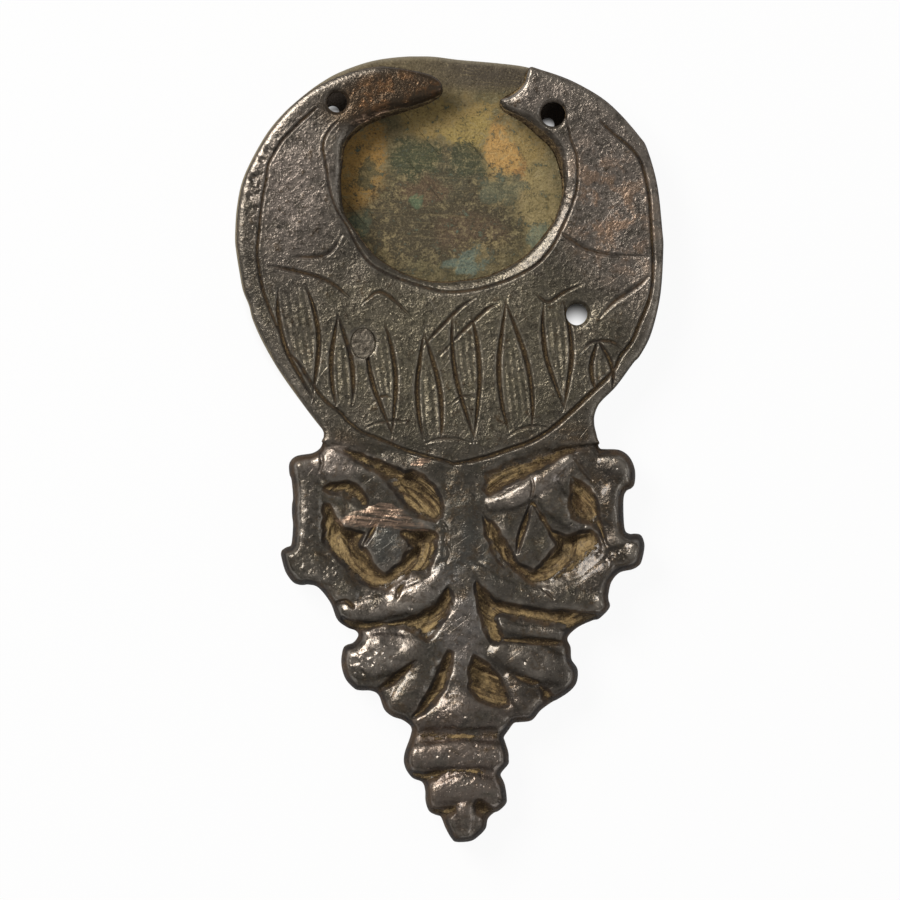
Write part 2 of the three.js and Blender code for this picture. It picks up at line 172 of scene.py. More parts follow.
def clay(piece, cell):
    """Turns a piece into an even skin of small faces that can be sculpted."""
    choose(piece)
    piece.data.remesh_voxel_size = cell * MM
    bpy.ops.object.voxel_remesh()


def thinned(piece, triangles):
    """Takes faces out where the skin is flat."""
    piece.data.calc_loop_triangles()
    change = piece.modifiers.new("thinned", "DECIMATE")
    change.ratio = min(1, triangles / len(piece.data.loop_triangles))
    change.use_collapse_triangulate = True
    choose(piece)
    bpy.ops.object.modifier_apply(modifier=change.name)


def spots_of(piece):
    """The vertices of a piece in millimetres."""
    places = np.empty(len(piece.data.vertices) * 3)
    piece.data.vertices.foreach_get("co", places)
    return places.reshape(-1, 3) / MM


def move_spots(piece, places):
    """Puts the vertices back, none of them outside the frame's box."""
    places = np.clip(places * MM, np.array(cad_low), np.array(cad_high))
    piece.data.vertices.foreach_set("co", places.ravel())
    piece.data.update()


def smoothstep(value, low, high):
    """0 below low, 1 above high, smooth between them."""
    share = np.clip((value - low) / (high - low), 0, 1)
    return share * share * (3 - 2 * share)


def dome(share):
    """A quarter circle: 0 at its foot, where the share is 0, and 1 at its top."""
    return np.sqrt(share * (2 - share))


def grain(seed, u, v):
    """Smooth random hills one unit across, between -1 and 1."""
    table = np.random.default_rng(seed).uniform(-1, 1, (256, 256))
    i, j = np.floor(u).astype(int), np.floor(v).astype(int)
    a, b = u - i, v - j
    a, b = a * a * (3 - 2 * a), b * b * (3 - 2 * b)
    i0, i1, j0, j1 = i % 256, (i + 1) % 256, j % 256, (j + 1) % 256
    near = table[i0, j0] * (1 - a) + table[i1, j0] * a
    beyond = table[i0, j1] * (1 - a) + table[i1, j1] * a
    return near * (1 - b) + beyond * b


def beside(x, y, a, b):
    """How far places lie from the line from a to b, and how far along it, from 0 to 1."""
    ahead = b - a
    along = np.clip(((x - a[0]) * ahead[0] + (y - a[1]) * ahead[1]) / max(ahead @ ahead, 1e-9), 0, 1)
    return np.hypot(x - a[0] - along * ahead[0], y - a[1] - along * ahead[1]), along


class Relief:
    """The carver's plan of a face: layers of heights or depths over a fine grid, in millimetres."""

    def __init__(self, low, high, cell):
        self.low = np.array(low, float)
        self.cell = cell
        self.x = np.arange(low[0], high[0] + cell, cell)
        self.y = np.arange(low[1], high[1] + cell, cell)
        self.size = (len(self.x), len(self.y))
        self.across, self.up = np.meshgrid(self.x, self.y, indexing="ij")

    def layer(self, level=0.0):
        """The same value everywhere."""
        return np.full(self.size, float(level))

    def around(self, places, reach):
        """The part of the grid that lies within reach of some places."""
        places = np.array(places, float)[:, :2]
        low = np.maximum(((places.min(0) - reach - self.low) / self.cell).astype(int), 0)
        high = np.minimum(((places.max(0) + reach - self.low) / self.cell).astype(int) + 2, self.size)
        return np.s_[low[0] : high[0], low[1] : high[1]]

    def hills(self, seed, size, shift, part=np.s_[:]):
        """Smooth random hills of a size over the grid or a part of it, between -1 and 1."""
        return grain(seed, self.across[part] / size + shift, self.up[part] / size + shift)

    def inside(self, outline):
        """Which places lie inside an outline."""
        result = np.zeros(self.size, bool)
        for a, b in zip(outline, np.roll(outline, -1, 0)):
            rows = (min(a[1], b[1]) < self.y) & (self.y <= max(a[1], b[1]))
            if rows.any():
                crossing = a[0] + (b[0] - a[0]) * (self.y[rows] - a[1]) / (b[1] - a[1])
                result[:, rows] ^= self.x[:, None] < crossing
        return result

    def rim(self, outline, reach):
        """0 outside an outline and on it, rising to 1 at a reach inside it."""
        result = self.layer(reach)
        for a, b in zip(outline, np.roll(outline, -1, 0)):
            part = self.around([a, b], reach)
            away, _ = beside(self.across[part], self.up[part], a[:2], b[:2])
            result[part] = np.minimum(result[part], away)
        return np.clip(result / reach, 0, 1) * self.inside(outline)

    def stroke(self, layer, strength, places, domed=False):
        """Draws a stroke that tapers with its half widths into a layer: a sharp V, or a rounded ridge."""
        line = curved(places, step=0.25, closed=False)
        widest = line[:, 2].max()
        for a, b in zip(line, line[1:]):
            part = self.around([a, b], max(a[2], b[2]))
            away, along = beside(self.across[part], self.up[part], a[:2], b[:2])
            half = np.maximum(a[2] + (b[2] - a[2]) * along, 1e-3)
            share = np.clip(1 - away / half, 0, 1)
            shape = dome(share) if domed else share
            layer[part] = np.maximum(layer[part], strength * half / widest * shape)

    def hollow(self, depth, corners):
        """The walls and floor of a hollow: each wall goes down from its edge with a slope of its own."""
        corners = np.array(corners, float)
        part = self.around(corners, 0)
        wall = np.full(self.across[part].shape, depth)
        uneven = 0.09 * (self.hills(61, 0.5, 60, part) + 0.4)
        for a, b in zip(corners, np.roll(corners, -1, 0)):
            away, _ = beside(self.across[part], self.up[part], a[:2], b[:2])
            wall = np.minimum(wall, (away - uneven) * a[2])
        return part, np.where(self.inside(corners)[part], np.maximum(wall, 0), 0)

    def standing(self, height, slope, corners):
        """A form left standing in a hollow: flat inside its corners, with sloping sides round them."""
        corners = np.array(corners, float)
        part = self.around(corners, height / slope)
        away = np.full(self.across[part].shape, height / slope)
        for a, b in zip(corners, np.roll(corners, -1, 0)):
            away = np.minimum(away, beside(self.across[part], self.up[part], a, b)[0])
        uneven = 0.12 * (self.hills(62, 0.5, 60, part) + 1)
        sides = height - slope * np.maximum(away - uneven, 0)
        return part, np.where(self.inside(corners)[part], height, sides)

    def knob(self, layer, x, y, radius, rise):
        """A round knob."""
        part = self.around([(x, y)], radius)
        share = np.clip(1 - np.hypot(self.across[part] - x, self.up[part] - y) / radius, 0, 1)
        layer[part] = np.maximum(layer[part], rise * dome(share))

    def pit(self, layer, x, y, radius, depth, seed):
        """A round pit with an uneven edge."""
        part = self.around([(x, y)], radius * 1.4)
        u, v = self.across[part] - x, self.up[part] - y
        uneven = 1 + 0.3 * grain(seed, u / radius * 1.3 + 40, v / radius * 1.3 + 40)
        share = np.clip(1 - (u * u + v * v) / (radius * uneven) ** 2, 0, 1)
        layer[part] = np.maximum(layer[part], depth * share)

    def strewn(self, layer, chance, count, area, radii, depths, seed):
        """Pits at random places of an area, of random radii and depths."""
        for _ in range(count):
            x, y, radius, depth = [chance.uniform(*ends) for ends in (*area, radii, depths)]
            self.pit(layer, x, y, radius, depth, seed)

    def soft(self, layer, steps):
        """A layer with its sharp edges worn away."""
        for step in steps:
            for axis in (0, 1):
                layer = (2 * layer + np.roll(layer, step, axis) + np.roll(layer, -step, axis)) / 4
        return layer

    def at(self, layer, x, y):
        """The values of a layer at any places."""
        u = np.clip((x - self.low[0]) / self.cell, 0, self.size[0] - 1.001)
        v = np.clip((y - self.low[1]) / self.cell, 0, self.size[1] - 1.001)
        i, j = u.astype(int), v.astype(int)
        u, v = u - i, v - j
        near = layer[i, j] * (1 - v) + layer[i, j + 1] * v
        return near * (1 - u) + (layer[i + 1, j] * (1 - v) + layer[i + 1, j + 1] * v) * u


def sculpt(piece, relief, height, floor, top):
    """Lowers and raises the skin of a piece, which is flat at top, to the heights of a layer."""
    places = spots_of(piece)
    target = relief.at(height, places[:, 0], places[:, 1])
    share = np.clip((places[:, 2] - floor) / (top - floor), 0, 1)
    places[:, 2] = np.where(places[:, 2] > floor, floor + share * (target - floor), places[:, 2])
    move_spots(piece, places)


def paint(piece, relief, layers):
    """Stores up to four layers with the piece, for its material."""
    places = spots_of(piece)
    colours = np.zeros((len(places), 4), np.float32)
    for k, layer in enumerate(layers):
        colours[:, k] = np.clip(relief.at(layer, places[:, 0], places[:, 1]), 0, 1)
    marks = piece.data.attributes.new("marks", "FLOAT_COLOR", "POINT")
    marks.data.foreach_set("color", colours.ravel())


back_line = curved(BACK_OUTLINE)
back_holes = [(x + HOLE_SLANT[0], y + HOLE_SLANT[1], BACK_HOLE_RADIUS) for x, y, _ in STRAP_HOLES]
back_holes += [(*RIVET_HOLE[:2], RIVET_FOOT_RADIUS), LOST_RIVET_HOLE]
back = sheet_metal("back_plate_sheet", back_line, back_holes, 0, BACK_THICKNESS)
clay(back, BACK_CELL)
back_plan = Relief(*BACK_PLAN)
back_rim = back_plan.rim(back_line, BACK_EDGE)
back_height = back_plan.layer(BACK_THICKNESS) - BACK_EDGE_DROP * (1 - dome(back_rim))
for size, depth, seed in BACK_WAVES:
    back_height += depth * (back_plan.hills(seed, size, 0) - 1)
back_pits = back_plan.layer()
chance = np.random.default_rng(11)
back_plan.strewn(back_pits, chance, WINDOW_PITS, WINDOW_AREA, (0.06, 0.18), (0.02, 0.06), seed=5)
back_height -= back_pits
sculpt(back, back_plan, back_height, BACK_UNTOUCHED, BACK_THICKNESS)
thinned(back, BACK_TRIANGLES)
paint(back, back_plan, [smoothstep(back_pits, 0.005, 0.04), smoothstep(1 - back_rim, 0.2, 1)])
choose(back)
bpy.ops.object.shade_smooth()


def colour(code):
    """The colour that a web colour code stands for."""
    values = [int(code[k : k + 2], 16) / 255 for k in (1, 3, 5)]
    return (*(v / 12.92 if v <= 0.04045 else ((v + 0.055) / 1.055) ** 2.4 for v in values), 1)


class Paint:
    """A number or a colour in a material. Arithmetic on it adds Math nodes, and node() adds any other."""

    def __init__(self, tree, socket=None):
        self.tree = tree
        self.socket = socket

    def node(self, kind, values, out=0, **settings):
        """A new node: its kind, what goes into its sockets, the socket that comes out, and its settings."""
        new = self.tree.nodes.new(kind)
        for name, value in settings.items():
            setattr(new, name, value)
        for key, value in values.items():
            if isinstance(value, Paint):
                self.tree.links.new(value.socket, new.inputs[key])
            else:
                new.inputs[key].default_value = value
        return Paint(self.tree, new.outputs[out] if len(new.outputs) else None)

    def maths(self, operation, first, second):
        """What a Math node makes of two numbers."""
        return self.node("ShaderNodeMath", {0: first, 1: second}, operation=operation)

    def vector(self, operation, values, out=0):
        """What a Vector Math node makes of this one and of what else goes into it."""
        return self.node("ShaderNodeVectorMath", {0: self, **values}, out, operation=operation)

    def __add__(self, other):
        return self.maths("ADD", self, other)

    def __sub__(self, other):
        return self.maths("SUBTRACT", self, other)

    def __rsub__(self, other):
        return self.maths("SUBTRACT", other, self)

    def __mul__(self, other):
        return self.maths("MULTIPLY", self, other)

    __radd__ = __add__
    __rmul__ = __mul__

    def least(self, other):
        """The lower of two numbers."""
        return self.maths("MINIMUM", self, other)

    def most(self, other):
        """The higher of two numbers."""
        return self.maths("MAXIMUM", self, other)

    def between(self, low, high):
        """0 below low, 1 above high, smooth between them."""
        values = {"Value": self, "From Min": low, "From Max": high}
        return self.node("ShaderNodeMapRange", values, interpolation_type="SMOOTHSTEP")

    def mixed(self, first, second):
        """The first colour where this is 0, the second where it is 1. Either may be a web colour code."""
        first, second = [colour(one) if isinstance(one, str) else one for one in (first, second)]
        return self.node("ShaderNodeMix", {0: self, 6: first, 7: second}, 2, data_type="RGBA")

    def under(self, *layers):
        """This colour with others laid over it in turn, each with the share of the place that it takes."""
        result = self
        for share, over in layers:
            result = share.mixed(result, over)
        return result

    def mapped(self, turn=0.0, stretch=(1, 1, 1), shift=(0, 0, 0)):
        """Places for a pattern that is moved, turned about Z and stretched."""
        values = {"Vector": self, "Rotation": (0, 0, turn), "Scale": stretch, "Location": shift}
        return self.node("ShaderNodeMapping", values, vector_type="TEXTURE")

    def warped(self, per_mm, reach):
        """Places pushed about by up to so many millimetres, so that what is drawn on them gets ragged."""
        push = self.node("ShaderNodeTexNoise", {"Vector": self, "Scale": per_mm / MM, "Detail": 4.0}, 1)
        push = push.vector("SUBTRACT", {1: (0.5, 0.5, 0.5)}).vector("SCALE", {"Scale": 4 * reach * MM})
        return push.vector("ADD", {1: self})

    def cloud(self, per_mm, detail=3, rough=0.55, warp=0.0):
        """Noise with so many blotches to a millimetre, read at these places."""
        values = {"Scale": per_mm / MM, "Detail": detail, "Roughness": rough, "Distortion": warp}
        return self.node("ShaderNodeTexNoise", {"Vector": self, **values})

    def parts(self):
        """The three numbers of a vector or colour."""
        new = self.tree.nodes.new("ShaderNodeSeparateXYZ")
        self.tree.links.new(self.socket, new.inputs[0])
        return [Paint(self.tree, out) for out in new.outputs]

    def blotch(self, x, y, wide, high, edge=0.5, turn=0.0):
        """1 in an oval round a place in millimetres, 0 outside it, read at these places."""
        moved = self.vector("MULTIPLY", {1: (1, 1, 0)}).vector("SUBTRACT", {1: (x * MM, y * MM, 0)})
        far = moved.mapped(turn=turn, stretch=(wide * MM, high * MM, 1)).vector("LENGTH", {}, 1)
        return 1 - far.between(1 - edge, 1 + edge)

    def blotches(self, spots):
        """The strongest of several blotches: x, y, half width, half height, edge, turn and strength."""
        whole = None
        for *oval, strength in spots:
            one = self.blotch(*oval) * strength
            whole = whole.most(one) if whole else one
        return whole


def new_finish(name):
    """An empty material, with the places on the object and the marks that a piece stores for it."""
    finish = bpy.data.materials.new(name)
    finish.use_nodes = True
    tree = finish.node_tree
    tree.nodes.clear()
    start = Paint(tree)
    place = start.node("ShaderNodeTexCoord", {}, "Object")
    marks = start.node("ShaderNodeAttribute", {}, "Color", attribute_name="marks")
    return finish, place, marks


def finished(place, base, metallic, rough, bumps, coat=0.0, coat_rough=0.25):
    """Joins a finish to its output. Bumps are pairs of a height from 0 to 1 and its depth in millimetres."""
    bumped = {}
    for height, depth in bumps:
        values = {"Strength": 1.0, "Distance": depth * MM, "Height": height}
        bumped = {"Normal": place.node("ShaderNodeBump", {**values, **bumped})}
    values = {"Base Color": base, "Metallic": metallic, "Roughness": rough, "Specular IOR Level": 0.35}
    values.update({"Coat Weight": coat, "Coat Roughness": coat_rough})
    surface = place.node("ShaderNodeBsdfPrincipled", {**values, **bumped})
    place.node("ShaderNodeOutputMaterial", {"Surface": surface})


def clad(piece, finish):
    """Gives a piece its finish."""
    piece.data.materials.clear()
    piece.data.materials.append(finish)


# corroded bronze: olive tan with ochre, green-grey and brown clouds, turquoise specks and dark pits
# x, y, half width, half height, strength and colour
STAINS = [
    (-7.2, 22.6, 2, 3.6, 1, "#bf9552"),
    (-0.4, 26.6, 4, 1.6, 0.85, "#b59a5e"),
    (1.2, 25.3, 2.4, 1.5, 0.9, "#b0995a"),
    (5.2, 23, 2.8, 3, 0.75, "#b3985d"),
    (4, 23.9, 1.2, 2.2, 0.8, "#cfa15e"),
    (5.2, 22.3, 0.8, 0.9, 0.6, "#a9794a"),
    (7.4, 20, 1.8, 3.4, 0.8, "#a09063"),
    (-0.8, 18.3, 6.4, 3.8, 0.9, "#4a4233"),
    (-0.4, 21.8, 3.6, 1.9, 0.85, "#55503e"),
    (-2.2, 21, 1.9, 1.2, 0.5, "#6f523f"),
    (1.6, 17.2, 2.6, 1.6, 0.4, "#6f5644"),
    (-2.9, 23.5, 1.7, 1.5, 0.9, "#4a5038"),
    (1.4, 23.1, 1.4, 1.3, 0.9, "#464b36"),
    (-6.6, 21.9, 1, 1.1, 0.8, "#595c45"),
    (4.2, 21, 1.6, 1.3, 0.8, "#6d705a"),
    (-2.2, 20, 0.7, 0.6, 0.8, "#647a5c"),
    (-6.8, 17.8, 0.9, 1.4, 0.8, "#65705a"),
    (7.2, 17.7, 1, 0.9, 0.7, "#7c8c7a"),
    (1.5, 14.8, 1.6, 0.6, 0.6, "#82998c"),
]
TOP_STRIP = (28.3, 29.5)  # the top edge is darker, a little from the first Y on and fully from the second

corroded, place, marks = new_finish("corroded_bronze")
pitted, worn, _ = marks.parts()
cloudy = place.cloud(0.16, 4, 0.6, 0.4)
mottled = place.mapped(shift=(0.07, 0.02, 0)).cloud(0.45, 6, 0.72, 0.5)
crust = place.cloud(1.3, 6, 0.75, 0.3)
fine = place.cloud(6, 3, 0.8)
pushed = place.warped(0.35, 1.1)
strip = place.parts()[1].between(TOP_STRIP[0] * MM, TOP_STRIP[1] * MM)
grazed = place.mapped(turn=1.5, stretch=(1, 30, 1)).cloud(6, 2, 0.6).between(0.56, 0.68)
slashed = place.mapped(turn=0.7, stretch=(1, 50, 1), shift=(0.02, 0.05, 0)).cloud(4, 1, 0.4)
slashed = slashed.between(0.72, 0.76)
torn = (crust - 0.5) * 3.2 + (fine - 0.5) * 1.3
base = cloudy.between(0.36, 0.62).mixed("#6a6145", "#8b7b56")
base = base.under((mottled.between(0.45, 0.66) * 0.8, "#5c583d"))
for x, y, wide, high, strength, code in STAINS:
    taken = (pushed.blotch(x, y, wide, high, 0.6) + torn).between(0.26, 0.84)
    base = base.under((taken * strength, code))
base = base.under(
    (crust.between(0.46, 0.6) * 0.4, "#4b4432"),
    ((1 - crust).between(0.5, 0.64) * 0.25, "#b5a67c"),
    (strip * 0.8, "#6a5e48"),
    (strip * place.blotch(5, 31, 5.5, 3, 0.5), "#544b3e"),
    (grazed * 0.22, "#a08f66"),
    (fine.between(0.5, 0.66) * 0.5, "#352e20"),
    ((1 - fine).between(0.54, 0.68) * 0.26, "#c9b88c"),
    (slashed * 0.4, "#3a3325"),
    (pitted * 0.7, "#33291c"),
)
# painted shade: the back plate turns dark brown round each strap hole, as if in the hole's shadow
for x, y, radius in STRAP_HOLES:
    base = base.under((place.blotch(x, y, 1.3 * radius, 1.3 * radius, 0.15), "#2b2219"))
base = base.under((worn, "#857c68"))
finished(
    place,
    base,
    metallic=0.2,
    rough=0.42 + fine * 0.3,
    bumps=[(mottled, 0.08), (crust, 0.13), (fine, 0.06), (slashed, -0.03)],
)
clad(back, corroded)
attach(back, "root")
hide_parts("back_plate")

# The spacer is a flat fork of copper alloy 1.8 mm thick, soldered between the plates. Its body fills the
# lower head, its prongs run up both sides, and the gap between them takes the strap.
SPACER_LOW = BACK_THICKNESS
SPACER_HIGH = 2.7
SPACER_CELL = 0.14
SPACER_TRIANGLES = 24000
SPACER_INSET = 0.22
SHOULDER_Y = 1.7  # below this the spacer isn't set in, and ends at the leaf as the back plate does
POCKET_MIDDLE = np.array([0.3, 20.95])
POCKET_RADIUS = 11
PRONG_TOP = 27.55
HEAD_MIDDLE = np.array([0, 16.0])
FILED_DEPTH = 0.05

inwards = HEAD_MIDDLE - back_line
spacer_line = back_line + inwards * (SPACER_INSET / np.linalg.norm(inwards, axis=1))[:, None]
spacer_line[:, 1] = np.where(back_line[:, 1] < SHOULDER_Y, back_line[:, 1], spacer_line[:, 1])
# the outside from the left prong's end to the right one's, then the pocket between them
outside = spacer_line[spacer_line[:, 1] < PRONG_TOP]
widest_gap = int(np.argmax(np.hypot(*(outside - np.roll(outside, 1, 0)).T)))
outside = np.roll(outside, -widest_gap, 0)
if outside[0, 0] > 0:
    outside = outside[::-1]
turn = np.linspace(0, -np.pi, 60)
fork = POCKET_MIDDLE + POCKET_RADIUS * np.stack([np.cos(turn), np.sin(turn)], 1)
ends = [(POCKET_MIDDLE[0] + side * POCKET_RADIUS, PRONG_TOP) for side in (1, -1)]
fork_line = np.vstack([outside, ends[:1], fork, ends[1:]])
spacer_holes = [RIVET_HOLE, LOST_RIVET_HOLE]
spacer = sheet_metal("forked_spacer_plate", fork_line, spacer_holes, SPACER_LOW, SPACER_HIGH)
clay(spacer, SPACER_CELL)
places = spots_of(spacer)
wave = grain(21, places[:, 0] / 1.1 + 60, places[:, 1] / 1.1 + 60)
outwards = (places[:, :2] - HEAD_MIDDLE) / np.linalg.norm(places[:, :2] - HEAD_MIDDLE, axis=1)[:, None]
places[:, :2] += outwards * (FILED_DEPTH * (wave - 1))[:, None]
move_spots(spacer, places)
thinned(spacer, SPACER_TRIANGLES)
clad(spacer, corroded)
choose(spacer)
bpy.ops.object.shade_smooth_by_angle(angle=0.7)
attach(spacer, "root")
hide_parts("forked_spacer")

# The front is one casting: a crescent-shaped plate with two horns round the window, and below it the leaf
# terminal, as thick as the whole head. Its hollows and the engraving were cut in by hand, and long wear has
# rounded the ridges. A dark patina covers it, and brown dirt sits in the hollows.
PLATE_LOW = SPACER_HIGH
PLATE_TOP = FACE_HEIGHT
RIDGE_TOP = 4.5
LEAF_DROP = 0.08
NECK_Y = 0.45
RIVET_SEAT = (0.97, 1.23)
RIVET_SEAT_DEPTH = 0.14
STEM_X = 1.1
# the middle of each leaf: how far it lies from the stem, and its Y
LEAF_MIDDLE = (6.2, -7.4)
# no hollow is as deep as this, so the sides of what stands in a hollow reach its floor
DEEPEST = 1.6
LOWEST_CUT = 1.0  # the height that is left under the deepest cuts
LOZENGE_SLOPE = 1.3
KNOB_LIFT = 0.1  # added to each knob, because softening takes some of it away
GOUGE_MARK = 0.06
LEAF_EDGE = 0.85
HEAD_EDGE = 0.5
HEAD_EDGE_DROP = 0.42
LEAF_EDGE_MORE = 1.48  # the leaf's edge drops so much further than the head's
HOLE_EDGE = 0.26
HOLE_EDGE_DROP = 0.2
LANCET_DEPTH = 0.3
# one side of a reed leaf: how far along it and aside, as shares of its length and half width, and half width
LANCET_SIDE = [
    (-0.03, 0.72, 0.1), (0.2, 0.95, 0.24), (0.5, 0.9, 0.28), (0.8, 0.42, 0.22), (1.06, -0.12, 0.07),
]
FLUTE_DEPTH = 0.09
PITS_TOGETHER = 12
PITS_STREWN = 420
# size, depth and seed of the slow waves of the whole face, and of more on the leaf
WAVES = [(5.5, 0.08, 41), (2.1, 0.05, 42), (0.8, 0.018, 43)]
LEAF_WAVES = [(1.4, 0.07, 45), (0.5, 0.03, 46)]
FRONT_CELL = 0.065
FRONT_PLAN = ((-17.6, -31.9), (17.6, 31.9), 0.04)
FRONT_TRIANGLES = 192000
HEAD_OUTLINE = [
    (-0.64, 29.26), (-1.12, 29.74), (-1.92, 30.06), (-3.92, 30.46), (-5.92, 30.58), (-8.32, 29.98),
    (-10.48, 29.02), (-11.92, 28.02), (-13.36, 26.62), (-14.8, 24.7), (-16.28, 21.78), (-16.84, 19.42),
    (-17, 17.1), (-16.92, 15.9), (-16.4, 12.78), (-15.92, 11.5), (-15.6, 10.3), (-14.72, 8.42),
    (-14.32, 7.78), (-13.76, 6.66), (-12.56, 4.98), (-11.44, 3.3), (-10.64, 2.34), (-10.08, 1.42),
    (-10.04, 0.94), (-10.12, 0.46), (-8.72, -0.02), (-6.32, -0.58), (-3.12, -0.98), (0.48, -1.14),
    (7.68, -0.66), (10.48, -0.18), (11.96, 0.3), (11.88, 0.86), (11.64, 1.9), (11.64, 2.62), (11.88, 3.34),
    (12.28, 3.9), (13.4, 5.02), (14.76, 6.86), (15.32, 7.5), (16.2, 9.26), (16.92, 12.3), (17.16, 15.9),
    (17.08, 17.5), (16.68, 21.1), (15.88, 23.98), (15.24, 25.02), (13.64, 26.86), (12.04, 28.22),
    (9.64, 29.54), (7.24, 30.38), (6.48, 30.54), (6.08, 29.9), (5.92, 29.26), (5.36, 28.74), (4.32, 28.1),
    (4.08, 27.82), (4.08, 27.42), (4.48, 26.94), (5.84, 26.14), (7.04, 25.1), (8.24, 23.9), (8.88, 22.14),
    (9.04, 20.38), (8.64, 18.86), (8.08, 17.82), (6.48, 15.82), (4.88, 14.7), (2.88, 13.82), (0.08, 13.42),
    (-1.52, 13.46), (-2.72, 13.74), (-3.92, 14.22), (-5.52, 15.18), (-6.32, 15.98), (-7.92, 18.14),
    (-8.32, 18.86), (-8.56, 19.9), (-8.64, 21.66), (-8.48, 23.26), (-8.4, 23.9), (-8.08, 24.62),
    (-7.12, 25.54), (-5.68, 26.3), (-2.32, 27.38), (-1.04, 27.98), (-0.52, 28.54),
]
LEAF_OUTLINE = [
    (-9.76, 0.86), (-10.06, 0.62), (-10.32, 0.06), (-10.96, -0.34), (-12.24, -0.58), (-12.8, -1.14),
    (-12.8, -2.02), (-12.64, -2.5), (-12.52, -3.86), (-12.6, -4.5), (-12.6, -5.3), (-12.52, -6.1),
    (-12.6, -7.38), (-12.72, -7.78), (-13.04, -7.9), (-13.36, -8.1), (-13.48, -8.34), (-13.44, -8.74),
    (-13.12, -9.86), (-12.56, -10.66), (-12.08, -10.9), (-11.68, -10.94), (-11.28, -10.9), (-10.48, -11.14),
    (-9.52, -12.34), (-8.96, -13.7), (-8.16, -14.34), (-7.52, -14.58), (-7.28, -14.9), (-7.44, -15.3),
    (-7.76, -15.62), (-8.24, -15.78), (-8.52, -16.1), (-8.64, -17.22), (-8.32, -18.42), (-7.6, -19.22),
    (-7.12, -19.38), (-6.24, -19.42), (-5.64, -19.78), (-5.2, -20.9), (-4.56, -21.46), (-3.68, -21.78),
    (-3.04, -22.34), (-3.12, -23.14), (-3.6, -24.58), (-3.52, -25.54), (-2.96, -26.38), (-2.16, -26.74),
    (-1.92, -27.38), (-1.88, -28.26), (-1.6, -29.06), (-1.04, -29.38), (-0.72, -29.46), (-0.56, -29.7),
    (-0.24, -30.5), (0.24, -31.3), (0.64, -31.54), (1.76, -31.46), (2.48, -30.98), (2.96, -30.42),
    (3.12, -29.7), (3.6, -29.22), (4, -29.06), (4.56, -28.5), (4.64, -28.02), (4.48, -26.98),
    (4.16, -26.26), (4.24, -25.94), (4.76, -25.3), (4.8, -24.9), (4.76, -24.34), (4.48, -23.46),
    (4.4, -23.14), (4.72, -22.66), (5.2, -22.02), (5.68, -21.94), (6.64, -21.78), (7.36, -20.98),
    (8.24, -20.34), (8.72, -20.1), (9.68, -19.46), (10.24, -18.74), (10.32, -17.7), (9.84, -16.9),
    (9.76, -15.94), (9.52, -15.14), (10.32, -14.34), (11.52, -13.78), (12.08, -13.62), (12.88, -12.74),
    (12.8, -12.1), (12.8, -11.62), (13.04, -10.66), (13.68, -9.94), (14.64, -9.7), (15.12, -9.46),
    (15.44, -9.06), (15.68, -7.94), (15.6, -7.3), (15.36, -6.9), (14.96, -6.82), (14.48, -6.82),
    (14.08, -6.34), (14, -4.1), (14.24, -3.38), (14.56, -3.22), (14.88, -2.82), (14.92, -1.7),
    (14.48, -0.66), (13.68, -0.1), (12.48, -0.02), (12.08, 0.06), (11.6, 0.78), (10.48, 0.82), (7.28, 0.94),
    (0.48, 1.18), (-5.52, 0.94), (-8.72, 0.78),
]
